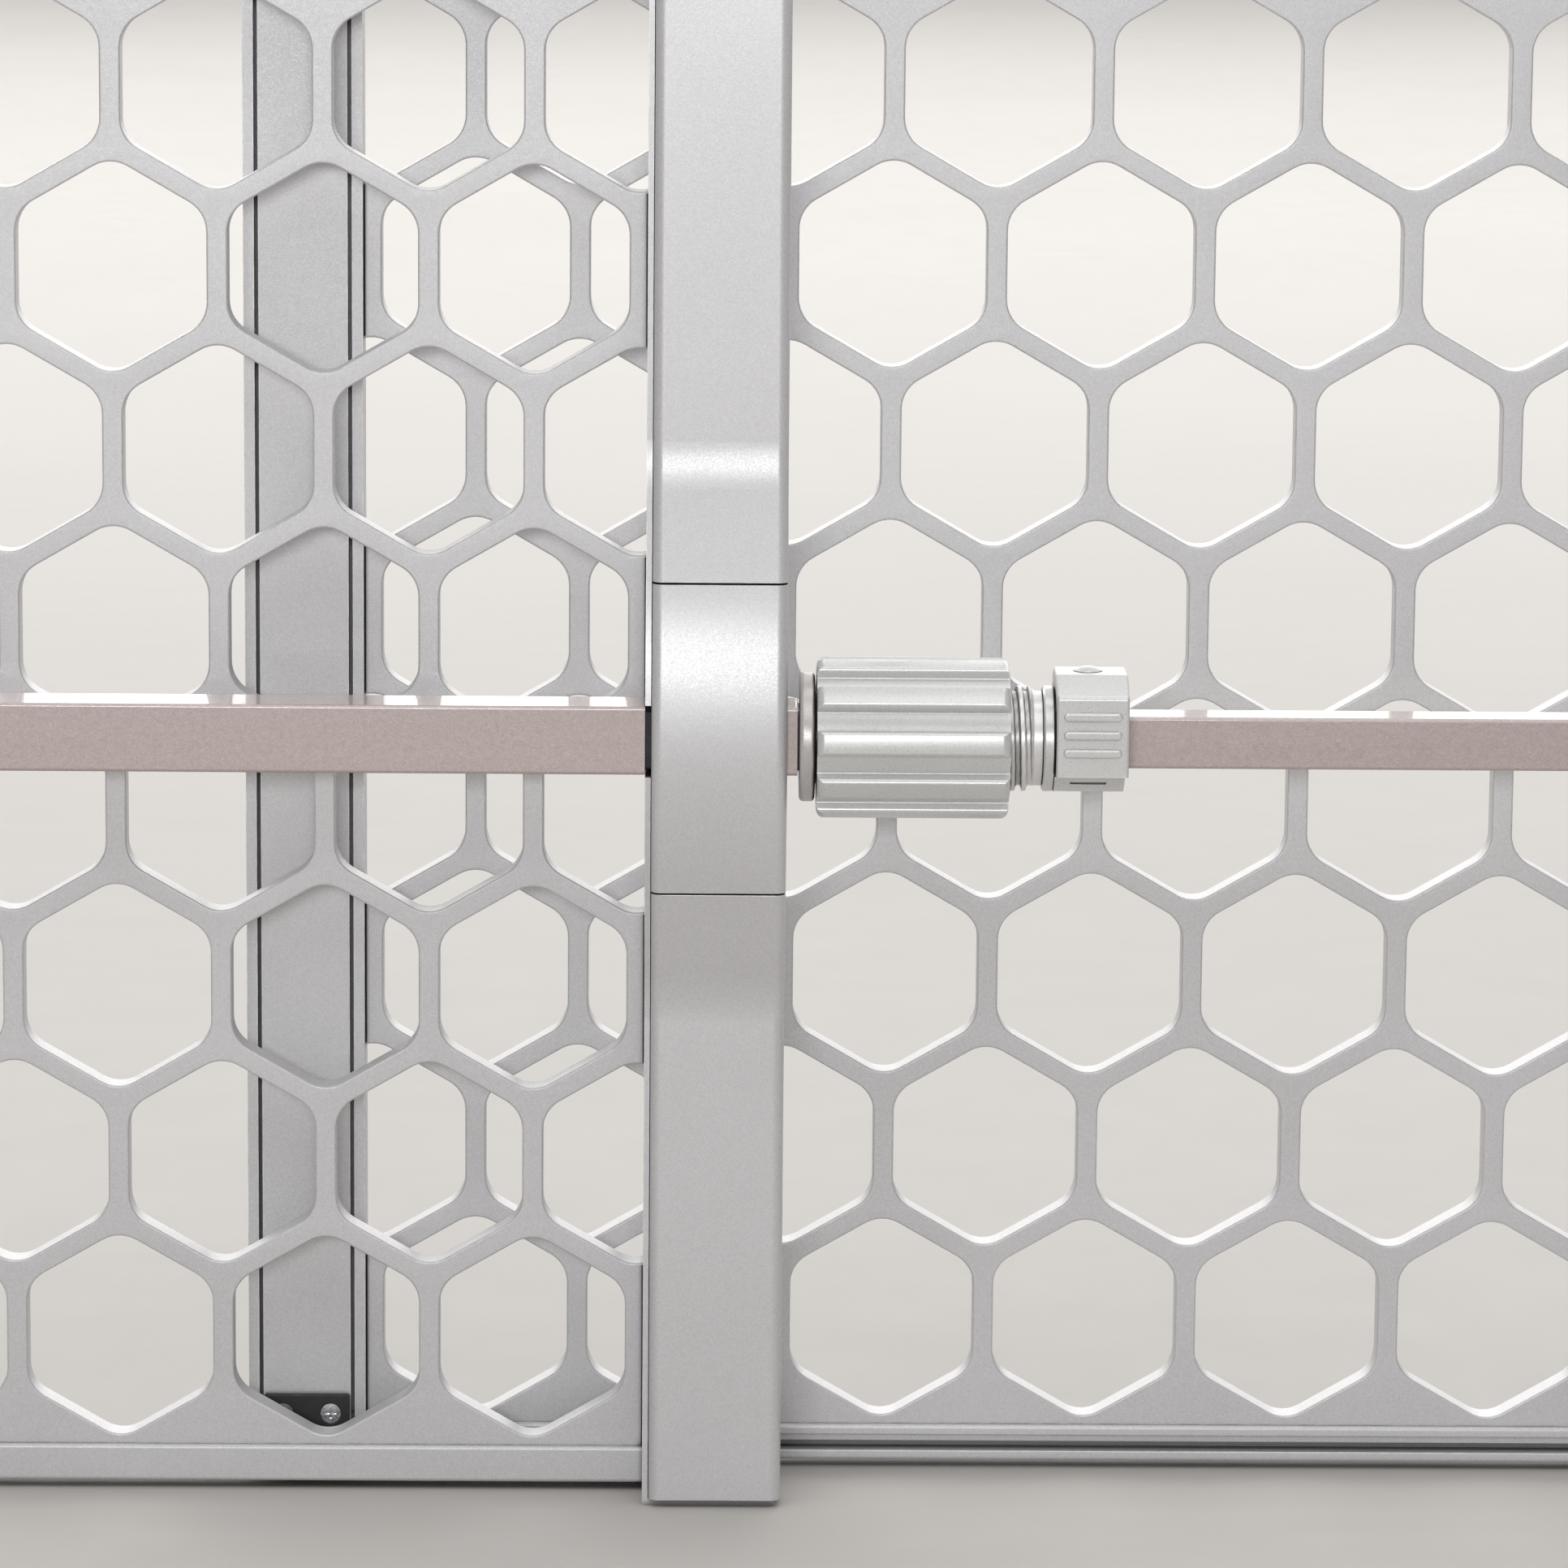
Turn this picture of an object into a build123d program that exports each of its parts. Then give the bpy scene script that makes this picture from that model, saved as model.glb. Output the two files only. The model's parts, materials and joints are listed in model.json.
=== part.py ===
from build123d import *
import math
import os

# Pressure-mounted expandable safety gate, in millimetres.
# X runs across the doorway, Y from front to back and Z up.
# The origin is under the middle of the gate, on the floor.

# ---------------------------------------------------------------- driving dimensions
HEIGHT = 584.0              # floor to top of the posts
PITCH = 77.0                # honeycomb pitch, strut line to strut line
HOLE_FLAT = 69.3            # honeycomb hole, flat to flat
HOLE_CORNER_R = 12.5
COLUMNS = 7                 # whole holes across each panel
ROWS = 8                    # honeycomb rows, half of them above the bar
PANEL_OVERLAP = 99.4        # rear panel's first strut line, left of the front panel's last
LATTICE_DEPTH = 12.0

END_POST_WIDTH = 36.0
CENTRE_POST_WIDTH = 51.5
REAR_POST_WIDTH = 44.0
WALL_PAD_THICKNESS = 5.0
STRUT_TO_POST = 3.0         # last strut line to the side of the post beside it

OUTER_TUBE = 25.0           # square pressure tube on the front panel
OUTER_TUBE_WALL = 1.5
INNER_TUBE = 19.0           # square tube that telescopes into it
INNER_TUBE_WALL = 1.5
TUBE_EDGE_R = 1.2
SLIDING_BORE = 19.7         # square bore round the inner tube

BOW_ANGLE = 18.8            # slope of the covers' sides, degrees
BOW_ARC_END = 57.0          # above and below the bar: end of the crown and cover seam
BOW_SLANT_END = 90.0        # end of the straight slope
BOW_FOOT = 107.0            # end of the curve back into the flat face

# depth planes, front to back
AXIS_Y = -25.5              # bar, knob and sleeve axis
POST_FACE_Y = -20.0
FRONT_LATTICE_Y = 5.0
FRONT_POST_BACK_Y = 22.0
REAR_POST_FACE_Y = 33.0
REAR_LATTICE_Y = 38.5
REAR_POST_BACK_Y = 55.0

# tension mechanism, lengths along the bar from the centre post outwards
STUB_LENGTH = 4.5           # outer tube left showing beside the post
FLANGE_LENGTH = 5.6
KNOB_GAP = 0.6
KNOB_LENGTH = 69.8
THREAD_SHOWN = 8.8
NECK_LENGTH = 3.5
RING_LENGTH = 4.1
LEVER_LENGTH = 26.2

FLANGE_R = 23.5
KNOB_RIBS = 10
KNOB_VALLEY_R = 25.3
KNOB_CREST_R = 29.5
KNOB_RIB_WIDTH = 8.8
KNOB_RIB_CORNER_R = 2.0
KNOB_RIB_ROOT_R = 0.6
KNOB_TURN_AT_REST = 4.0     # degrees the foremost rib stands above the front
THREAD_CREST_R = 19.25
THREAD_ROOT_R = 17.15
THREAD_PITCH = 4.0
LOCK_R = 19.25

# ---------------------------------------------------------------- worked-out places
ROW_STEP = PITCH * math.sqrt(3) / 2
BAR_Z = HEIGHT / 2
PANEL_SPAN = COLUMNS * PITCH
HALF_WIDTH = PANEL_SPAN + STRUT_TO_POST + END_POST_WIDTH + WALL_PAD_THICKNESS - PANEL_OVERLAP / 2

LEFT_POST_X = -HALF_WIDTH + WALL_PAD_THICKNESS
FRONT_FIRST_STRUT_X = LEFT_POST_X + END_POST_WIDTH + STRUT_TO_POST
FRONT_LAST_STRUT_X = FRONT_FIRST_STRUT_X + PANEL_SPAN
CENTRE_POST_X = FRONT_LAST_STRUT_X + STRUT_TO_POST
CENTRE_POST_RIGHT_X = CENTRE_POST_X + CENTRE_POST_WIDTH
REAR_FIRST_STRUT_X = FRONT_LAST_STRUT_X - PANEL_OVERLAP
REAR_POST_X = REAR_FIRST_STRUT_X - STRUT_TO_POST - REAR_POST_WIDTH
RIGHT_POST_X = REAR_FIRST_STRUT_X + PANEL_SPAN + STRUT_TO_POST

FLANGE_X = CENTRE_POST_RIGHT_X + STUB_LENGTH
KNOB_X = FLANGE_X + FLANGE_LENGTH + KNOB_GAP
KNOB_END_X = KNOB_X + KNOB_LENGTH
THREAD_END_X = KNOB_END_X + THREAD_SHOWN
NECK_END_X = THREAD_END_X + NECK_LENGTH
RING_END_X = NECK_END_X + RING_LENGTH
LEVER_X = RING_END_X + 0.3
LEVER_END_X = LEVER_X + LEVER_LENGTH

BAR_AXIS = Axis((0, AXIS_Y, BAR_Z), (1, 0, 0))
# drawn from the front, X to the right and Z up, with its origin on the bar axis
BAR_SIDE_PLANE = Plane(origin=(0, AXIS_Y, BAR_Z), x_dir=(1, 0, 0), z_dir=(0, -1, 0))

PLATE_GAP = 0.4             # lattice edge to the side of a post
FRAME_RAIL_HEIGHT = 14.0
FRAME_RAIL_FOOT = 3.0       # underside of the bottom frame rail above the floor
FRAME_RAIL_DEPTH = 16.0
RAIL_GROOVE = 6.0
RAIL_GROOVE_DEPTH = 8.0
RAIL_IN_POST = 14.0         # length of frame rail held inside each post
RAIL_MIDDLE = FRAME_RAIL_FOOT + FRAME_RAIL_HEIGHT / 2

RAIL_ZS = (RAIL_MIDDLE, HEIGHT - RAIL_MIDDLE)
RAIL_GAP = 0.3
FRONT_RAIL_Y = FRONT_LATTICE_Y - 2.0
REAR_RAIL_Y = REAR_LATTICE_Y - 2.0

POST_WALL = 2.1
POST_BACK_WALL = 2.5
POST_END_WALL = 2.5
LEDGE_STEP = 3.5            # post's rim behind the face of its cover
COVER_WALL = 3.0
COVER_SIDE_WALL = 2.6
COVER_BACK_Y = -6.0
COVER_EDGE_R = 4.0
COVER_GAP = 0.2
SEAM = 0.7                  # between one cover and the next
TUBE_GAP = 0.7              # post or cover to the outer tube
TUBE_CUTOUT = OUTER_TUBE / 2 + TUBE_GAP
CENTRE_POST_MIDDLE = CENTRE_POST_X + CENTRE_POST_WIDTH / 2

REAR_POST_MIDDLE = REAR_POST_X + REAR_POST_WIDTH / 2
REAR_FLANGE = 4.0           # front flange each side of the rear post's insert
REAR_FLANGE_THICKNESS = 2.0
REAR_INSERT_WIDTH = REAR_POST_WIDTH - 2 * REAR_FLANGE - 3.0
REAR_INSERT_GAP = 0.5       # insert to the post's closed ends
REAR_WEB_X = 12.0
REAR_WEB_THICKNESS = 2.0
REAR_WEB_END = 30.0         # webs stop this far from the foot and the top
REAR_CHANNEL_DEPTH = REAR_POST_BACK_Y - POST_BACK_WALL - REAR_POST_FACE_Y

OUTER_TUBE_X = LEFT_POST_X + 9.0
STUB_X = CENTRE_POST_X + 4.0
STUB_END_X = FLANGE_X - 0.7
JOINER_X = CENTRE_POST_X - 34.0
JOINER_END_X = CENTRE_POST_X + 36.0
JOINER_SIZE = 21.6          # joins the outer tube to its stub inside the centre post
JOINER_WALL = 0.9
INNER_TUBE_X = FRONT_LAST_STRUT_X - 80.0
INNER_TUBE_END_X = RIGHT_POST_X + 24.0
GLIDE_CAP = 21.2            # plastic cap on the inner tube's end, inside the outer tube
GLIDE_CAP_THICKNESS = 3.0
GLIDE_PLUG = INNER_TUBE - 2 * INNER_TUBE_WALL - 0.2
GLIDE_PLUG_LENGTH = 16.0

# blocks that hold the bar in the posts
BLOCK_HALF_HEIGHT = 17.0
BLOCK_TO_WALL = 0.1
BLOCK_TO_COVER = 1.0
TUBE_FIT = 0.3              # square bore wider than its tube
SADDLE_HALF_WIDTH = 16.0
SADDLE_FRONT_Y = -34.0
LEFT_SOCKET_FRONT_Y = -38.7
RIGHT_SOCKET_FRONT_Y = -38.0
END_POST_INSET = POST_WALL + COVER_SIDE_WALL + BLOCK_TO_COVER
LEFT_POST_MIDDLE = LEFT_POST_X + END_POST_WIDTH / 2
RIGHT_POST_MIDDLE = RIGHT_POST_X + END_POST_WIDTH / 2

SCREW_R = 2.0
SCREW_HOLE_R = 2.1
SCREW_HEAD_R = 3.8
SCREW_HEAD_HOLE_R = 4.0
SCREW_HEAD_DEPTH = 2.0
SCREW_LENGTH = 14.0
SCREW_THREAD_HOLE_R = 2.05
HEAD_RECESS = 0.1           # heads sit this far under the surface
CROSS_LENGTH = 4.2          # cross recess in a head
CROSS_WIDTH = 0.9
CROSS_DEPTH = 0.9
SOCKET_SCREW_RISE = 13.0    # above and below the bar
GLIDE_SCREW_ASIDE = 9.0     # to either side of the post's middle
GLIDE_SCREW_IN = 22.0       # from the foot and from the top

# screw places: across from the post's middle, height above the floor
SOCKET_SCREWS = [(0, BAR_Z + rise) for rise in (-SOCKET_SCREW_RISE, SOCKET_SCREW_RISE)]
GLIDE_SCREWS = [
    (aside, z)
    for aside in (-GLIDE_SCREW_ASIDE, GLIDE_SCREW_ASIDE)
    for z in (GLIDE_SCREW_IN, HEIGHT - GLIDE_SCREW_IN)
]

GLIDE_WIDTH = 32.0
GLIDE_TONGUE = RAIL_GROOVE - 1.0
GLIDE_TIP_GAP = 0.8         # tongue's tip to the floor of its groove
GLIDE_PLATE = 3.0
GLIDE_PLATE_HEIGHT = 26.0
GLIDE_PLATE_Z = 16.0

PAD_ZS = (60.0, HEIGHT - 60.0)
PAD_Y = 1.0
PAD_DEPTH = 30.0
PAD_HEIGHT = 50.0
PAD_PEG_R = 4.0
PAD_PEG_LENGTH = 5.0
PAD_CORNER_R = 6.0
PAD_GROOVES = 4
PAD_GROOVE_STEP = 10.0
PAD_GROOVE_WIDTH = 2.0
PAD_GROOVE_DEPTH = 1.5

RUNNING_FIT = 0.06
COLLAR_BUSH = 21.7
BUSH_X = CENTRE_POST_X + 40.0
FLANGE_RIM_R = 1.6
JOURNAL_R = 17.0
JOURNAL_END_X = KNOB_X + 6.8
RING_GROOVE = 1.4
RING_GROOVE_DEPTH = 1.2
KNOB_END_WALL = 4.0
RING_GROOVE_X = KNOB_X + KNOB_END_WALL + 0.3
KNOB_BORE_R = 22.5
KNOB_END_R = 3.0
INSERT_X = KNOB_X + 34.0    # nut inside the knob
INSERT_END_X = KNOB_END_X - 1.0
INSERT_BORE_R = THREAD_CREST_R + 0.35
SLEEVE_X = KNOB_X + 15.8
SPIGOT_R = 15.0
SPIGOT_END_X = RING_END_X - 0.5
CUT_PAST = 1.0              # cutting shapes reach this far past a face

# lock, across the bar from its axis: back is +, up is +
CORE_HALF = 11.6
BELLY_TOP = -11.7
PIN_Y = 12.5
PIN_Z = 17.6
PIN_R = 1.5
LUG_R = 2.7
LEVER_FRONT = -21.0
LEVER_FOOT = -11.0
LEVER_CREASE = 18.2
LEVER_TOP = 25.0
LEVER_FLAT = 9.5            # the top is flat this far either side of the axis
LEVER_BACK = 15.5
LEVER_FALL = 2.8            # the top's back edge is this much lower
LEVER_WALL = 2.4
GRIP_RIB_ZS = (11.1, 4.4, -2.2)
GRIP_RIB_LENGTH = 21.2
GRIP_RIB_HEIGHT = 3.3
GRIP_RIB_PROUD = 0.9
CATCH_Z = -14.4
CATCH_WIDTH = 13.2
BUTTON_FROM_END = 12.0
BUTTON_R = 5.2
BUTTON_DOME = 1.8
BUTTON_FOOT = 20.4
CUP_R = 8.5
CUP_FOOT = 16.0
PAD_HALF_WIDTH = 5.0
PAD_LENGTH = 11.0
PAD_THICKNESS = 4.8

os.makedirs("parts", exist_ok=True)


def front_plane(y):
    """Plane seen from the front: X to the right, Z up, extruding towards the viewer."""
    return Plane.XZ.offset(-y)


def bar_plane(x):
    """Plane across the bar, centred on its axis: local x to the back, local y up."""
    return Plane(origin=(x, AXIS_Y, BAR_Z), x_dir=(0, 1, 0), z_dir=(1, 0, 0))


def side_plane(x):
    """Plane across the gate: local x to the back, local y up, extruding to the right."""
    return Plane(origin=(x, 0, 0), x_dir=(0, 1, 0), z_dir=(1, 0, 0))


def save(piece, name):
    piece.label = name
    export_step(piece, f"parts/{name}.step")


# ---------------------------------------------------------------- honeycomb panels
def hole_centres(first_strut_x, full_row_above_bar):
    """Hole centres of every row: whole rows start half a pitch in, split rows on the post."""
    centres = []
    for row in range(ROWS):
        z = BAR_Z + (row - ROWS / 2 + 0.5) * ROW_STEP
        rows_above_bar = row - ROWS // 2
        whole = (rows_above_bar % 2 == 0) == full_row_above_bar
        start = 0.5 if whole else 0.0
        count = COLUMNS if whole else COLUMNS + 1
        for column in range(count):
            centres.append((first_strut_x + (start + column) * PITCH, z))
    return centres


def lattice_panel(first_strut_x, lattice_y, rail_y, groove_faces_back):
    """Moulded honeycomb with a grooved frame rail along its top and its foot."""
    left = first_strut_x - STRUT_TO_POST + PLATE_GAP
    right = first_strut_x + PANEL_SPAN + STRUT_TO_POST - PLATE_GAP
    middle_x = (left + right) / 2
    rail_length = right - left + 2 * RAIL_IN_POST
    groove_y = rail_y + FRAME_RAIL_DEPTH if groove_faces_back else rail_y + RAIL_GROOVE_DEPTH
    lattice_height = HEIGHT - 2 * RAIL_MIDDLE

    with BuildSketch() as hole:
        RegularPolygon(HOLE_FLAT / 2, 6, major_radius=False, rotation=30)
        fillet(hole.vertices(), HOLE_CORNER_R)

    with BuildPart() as panel:
        with BuildSketch(front_plane(lattice_y + LATTICE_DEPTH)):
            with Locations((middle_x, BAR_Z)):
                Rectangle(right - left, lattice_height)
            with Locations(*hole_centres(first_strut_x, True)):
                add(hole.sketch, mode=Mode.SUBTRACT)
        extrude(amount=LATTICE_DEPTH)
        for z in RAIL_ZS:
            with BuildSketch(front_plane(rail_y + FRAME_RAIL_DEPTH)):
                with Locations((middle_x, z)):
                    RectangleRounded(rail_length, FRAME_RAIL_HEIGHT, 1.5)
            extrude(amount=FRAME_RAIL_DEPTH)
            with BuildSketch(front_plane(groove_y)):
                with Locations((middle_x, z)):
                    Rectangle(rail_length, RAIL_GROOVE)
            extrude(amount=RAIL_GROOVE_DEPTH, mode=Mode.SUBTRACT)
    return panel.part


front_lattice = lattice_panel(FRONT_FIRST_STRUT_X, FRONT_LATTICE_Y, FRONT_RAIL_Y, True)
save(front_lattice, "front_lattice")
rear_lattice = lattice_panel(REAR_FIRST_STRUT_X, REAR_LATTICE_Y, REAR_RAIL_Y, False)
save(rear_lattice, "rear_lattice")


# ---------------------------------------------------------------- posts and their covers
def bow_height(z_from_bar):
    """How far the covers stand forward of their flat face at the named break points."""
    slope = math.radians(BOW_ANGLE)
    foot = (BOW_FOOT - BOW_SLANT_END) * math.tan(slope / 2)
    slant = (BOW_SLANT_END - BOW_ARC_END) * math.tan(slope)
    crown = BOW_ARC_END * math.tan(slope / 2)
    heights = {BOW_FOOT: 0.0, BOW_SLANT_END: foot, BOW_ARC_END: foot + slant, 0.0: foot + slant + crown}
    return heights[z_from_bar]


def bowed_outline(setback, back_y, low_z, high_z):
    """Closed outline across the gate, back to the right: bowed front, flat back."""
    def point(z_from_bar):
        y = POST_FACE_Y + setback - bow_height(abs(z_from_bar))
        return (y, BAR_Z + z_from_bar)

    flat_y = POST_FACE_Y + setback
    foot_low = point(-BOW_FOOT)
    foot_high = point(BOW_FOOT)
    with BuildLine() as outline:
        Line((back_y, low_z), (flat_y, low_z))
        Line((flat_y, low_z), foot_low)
        TangentArc(foot_low, point(-BOW_SLANT_END), tangent=(0, 1))
        Line(point(-BOW_SLANT_END), point(-BOW_ARC_END))
        ThreePointArc(point(-BOW_ARC_END), point(0.0), point(BOW_ARC_END))
        Line(point(BOW_ARC_END), point(BOW_SLANT_END))
        TangentArc(foot_high, point(BOW_SLANT_END), tangent=(0, -1))
        Line(foot_high, (flat_y, high_z))
        Line((flat_y, high_z), (back_y, high_z))
        Line((back_y, high_z), (back_y, low_z))
    return outline.line


def post_body(left_x, width, back_y, plain_right_wall, rail_y, inner_side_x, pad_side_x, plain_spots):
    """Open-fronted post: side walls that follow the bow, back wall and closed ends."""
    middle_x = left_x + width / 2
    with BuildPart() as post:
        with BuildSketch(side_plane(left_x)):
            add(bowed_outline(LEDGE_STEP, back_y, 0, HEIGHT))
            make_face()
        extrude(amount=width)
        # inside of the channel
        with BuildSketch(front_plane(back_y - POST_BACK_WALL)):
            with Locations((middle_x, BAR_Z)):
                Rectangle(width - 2 * POST_WALL, HEIGHT - 2 * POST_END_WALL)
        extrude(amount=HEIGHT, mode=Mode.SUBTRACT)
        if plain_right_wall:
            # the cover wraps round this side, so the wall stops behind it
            with BuildSketch(front_plane(COVER_BACK_Y + COVER_GAP)):
                with Locations((left_x + width - POST_WALL / 2, BAR_Z)):
                    Rectangle(POST_WALL + 0.02, HEIGHT)
            extrude(amount=HEIGHT, mode=Mode.SUBTRACT)
        # openings for the frame rails
        for z in RAIL_ZS:
            with Locations((inner_side_x, rail_y + FRAME_RAIL_DEPTH / 2, z)):
                Box(
                    2 * POST_WALL + 1,
                    FRAME_RAIL_DEPTH + 2 * RAIL_GAP,
                    FRAME_RAIL_HEIGHT + 2 * RAIL_GAP,
                    mode=Mode.SUBTRACT,
                )
        # opening for the pressure bar, cut in from the rim
        with Locations((inner_side_x, AXIS_Y + OUTER_TUBE / 2 + TUBE_GAP, BAR_Z)):
            Box(
                2 * POST_WALL + 1,
                2 * OUTER_TUBE,
                2 * TUBE_CUTOUT,
                align=(Align.CENTER, Align.MAX, Align.CENTER),
                mode=Mode.SUBTRACT,
            )
        # peg holes for the wall pads
        if pad_side_x is not None:
            for z in PAD_ZS:
                with Locations((pad_side_x, PAD_Y, z)):
                    Cylinder(PAD_PEG_R + 0.1, 2 * POST_WALL + 1, rotation=(0, 90, 0), mode=Mode.SUBTRACT)
        # countersunk screw holes in the back wall
        with Locations(Plane(origin=(middle_x, back_y, 0), x_dir=(-1, 0, 0), z_dir=(0, 1, 0))):
            with Locations(*SOCKET_SCREWS):
                CounterSinkHole(SCREW_HOLE_R, SCREW_HEAD_HOLE_R, depth=2 * POST_BACK_WALL)
            for spot in plain_spots:
                with Locations(spot):
                    Hole(SCREW_HOLE_R, depth=2 * POST_BACK_WALL)
    return post.part


def post_cover(left_x, width, wrapped_right, tube_span, piece):
    """One of the three covers of a post: 'upper', 'bridge' or 'lower'."""
    cover_left = left_x + POST_WALL + COVER_GAP
    cover_right = left_x + width if wrapped_right else left_x + width - POST_WALL - COVER_GAP
    cover_width = cover_right - cover_left
    cover_middle = (cover_left + cover_right) / 2
    end_margin = POST_END_WALL + COVER_GAP
    low, high = {
        "lower": (end_margin, BAR_Z - BOW_ARC_END - SEAM / 2),
        "bridge": (BAR_Z - BOW_ARC_END + SEAM / 2, BAR_Z + BOW_ARC_END - SEAM / 2),
        "upper": (BAR_Z + BOW_ARC_END + SEAM / 2, HEIGHT - end_margin),
    }[piece]
    with BuildPart() as cover:
        with BuildSketch(side_plane(cover_left)):
            add(bowed_outline(0, COVER_BACK_Y, 0, HEIGHT))
            make_face()
        extrude(amount=cover_width)
        # the long front edges, left and right, are rounded all the way down
        long_edges = cover.edges().filter_by(
            lambda edge: edge.bounding_box().size.X < 0.01
            and edge.bounding_box().size.Z > 1
            and edge.center().Y < COVER_BACK_Y - COVER_WALL
        )
        fillet(long_edges, COVER_EDGE_R)
        with BuildSketch(side_plane(cover_left + COVER_SIDE_WALL)):
            add(bowed_outline(COVER_WALL, COVER_BACK_Y + 1, -1, HEIGHT + 1))
            make_face()
        extrude(amount=cover_width - 2 * COVER_SIDE_WALL, mode=Mode.SUBTRACT)
        # keep this cover's own stretch
        with Locations((cover_middle, AXIS_Y, (low + high) / 2)):
            Box(cover_width + 2, 4 * REAR_POST_BACK_Y, high - low, mode=Mode.INTERSECT)
        if piece == "bridge":
            tube_from, tube_to = tube_span
            with Locations((tube_from, AXIS_Y - OUTER_TUBE / 2 - TUBE_GAP, BAR_Z)):
                Box(
                    tube_to - tube_from,
                    2 * OUTER_TUBE,
                    2 * TUBE_CUTOUT,
                    align=(Align.MIN, Align.MIN, Align.CENTER),
                    mode=Mode.SUBTRACT,
                )
    return cover.part


centre_post = post_body(
    CENTRE_POST_X,
    CENTRE_POST_WIDTH,
    FRONT_POST_BACK_Y,
    True,
    FRONT_RAIL_Y,
    CENTRE_POST_X,
    None,
    GLIDE_SCREWS,
)
left_end_post = post_body(
    LEFT_POST_X,
    END_POST_WIDTH,
    FRONT_POST_BACK_Y,
    False,
    FRONT_RAIL_Y,
    LEFT_POST_X + END_POST_WIDTH,
    LEFT_POST_X,
    [],
)
right_end_post = post_body(
    RIGHT_POST_X,
    END_POST_WIDTH,
    REAR_POST_BACK_Y,
    False,
    REAR_RAIL_Y,
    RIGHT_POST_X,
    RIGHT_POST_X + END_POST_WIDTH,
    [],
)
save(centre_post, "centre_post")
save(left_end_post, "left_end_post")
save(right_end_post, "right_end_post")

# left side, width, cover wrapped round the right side, stretch of cover open for the bar
POSTS = {
    "centre": (CENTRE_POST_X, CENTRE_POST_WIDTH, True, (CENTRE_POST_X - 1, CENTRE_POST_RIGHT_X + 1)),
    "left": (LEFT_POST_X, END_POST_WIDTH, False, (LEFT_POST_X + 10, LEFT_POST_X + END_POST_WIDTH + 1)),
    "right": (RIGHT_POST_X, END_POST_WIDTH, False, (RIGHT_POST_X - 1, RIGHT_POST_X + 26)),
}
for side, (post_x, post_width, wrapped, tube_span) in POSTS.items():
    for piece in ("upper", "bridge", "lower"):
        save(post_cover(post_x, post_width, wrapped, tube_span, piece), f"{side}_cover_{piece}")

# rear panel's inner post: a channel with narrow front flanges and a flush insert between them
with BuildPart() as rear_inner_post:
    with BuildSketch(front_plane(REAR_POST_BACK_Y)):
        with Locations((REAR_POST_MIDDLE, BAR_Z)):
            RectangleRounded(REAR_POST_WIDTH, HEIGHT, 2.0)
    extrude(amount=REAR_POST_BACK_Y - REAR_POST_FACE_Y)
    with BuildSketch(front_plane(REAR_POST_BACK_Y - POST_BACK_WALL)):
        with Locations((REAR_POST_MIDDLE, BAR_Z)):
            Rectangle(REAR_POST_WIDTH - 2 * POST_WALL, HEIGHT - 2 * POST_END_WALL)
    extrude(amount=REAR_CHANNEL_DEPTH - REAR_FLANGE_THICKNESS, mode=Mode.SUBTRACT)
    with BuildSketch(front_plane(REAR_POST_FACE_Y + REAR_FLANGE_THICKNESS + 1)):
        with Locations((REAR_POST_MIDDLE, BAR_Z)):
            Rectangle(REAR_POST_WIDTH - 2 * REAR_FLANGE, HEIGHT - 2 * POST_END_WALL)
    extrude(amount=REAR_FLANGE_THICKNESS + 2, mode=Mode.SUBTRACT)
    for z in RAIL_ZS:
        with Locations((REAR_POST_X + REAR_POST_WIDTH, REAR_RAIL_Y + FRAME_RAIL_DEPTH / 2, z)):
            Box(
                2 * POST_WALL + 1,
                FRAME_RAIL_DEPTH + 2 * RAIL_GAP,
                FRAME_RAIL_HEIGHT + 2 * RAIL_GAP,
                mode=Mode.SUBTRACT,
            )
save(rear_inner_post.part, "rear_inner_post")

with BuildPart() as rear_post_insert:
    with BuildSketch(front_plane(REAR_POST_FACE_Y + COVER_WALL)):
        with Locations((REAR_POST_MIDDLE, BAR_Z)):
            RectangleRounded(REAR_INSERT_WIDTH, HEIGHT - 2 * (POST_END_WALL + REAR_INSERT_GAP), 1.0)
    extrude(amount=COVER_WALL)
    # two long webs stiffen it and rest on the back wall, clear of the rails
    with BuildSketch(front_plane(REAR_POST_BACK_Y - POST_BACK_WALL - COVER_GAP)):
        with Locations((REAR_POST_MIDDLE - REAR_WEB_X, BAR_Z), (REAR_POST_MIDDLE + REAR_WEB_X, BAR_Z)):
            Rectangle(REAR_WEB_THICKNESS, HEIGHT - 2 * REAR_WEB_END)
    extrude(amount=REAR_CHANNEL_DEPTH - COVER_GAP - COVER_WALL)
    with Locations(Plane(origin=(REAR_POST_MIDDLE, REAR_POST_FACE_Y, 0), x_dir=(1, 0, 0), z_dir=(0, -1, 0))):
        with Locations(*GLIDE_SCREWS):
            Hole(SCREW_HOLE_R, depth=2 * COVER_WALL)
save(rear_post_insert.part, "rear_post_insert")


# ---------------------------------------------------------------- pressure bar
def square_tube(start_x, end_x, size, wall):
    """Square tube along the bar axis."""
    with BuildPart() as tube:
        with BuildSketch(bar_plane(start_x)):
            RectangleRounded(size, size, TUBE_EDGE_R)
            Rectangle(size - 2 * wall, size - 2 * wall, mode=Mode.SUBTRACT)
        extrude(amount=end_x - start_x)
    return tube.part


save(square_tube(OUTER_TUBE_X, CENTRE_POST_X, OUTER_TUBE, OUTER_TUBE_WALL), "outer_tube")
save(square_tube(STUB_X, STUB_END_X, OUTER_TUBE, OUTER_TUBE_WALL), "outer_tube_stub")
save(square_tube(JOINER_X, JOINER_END_X, JOINER_SIZE, JOINER_WALL), "tube_joiner")
save(square_tube(INNER_TUBE_X, INNER_TUBE_END_X, INNER_TUBE, INNER_TUBE_WALL), "inner_tube")

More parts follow.
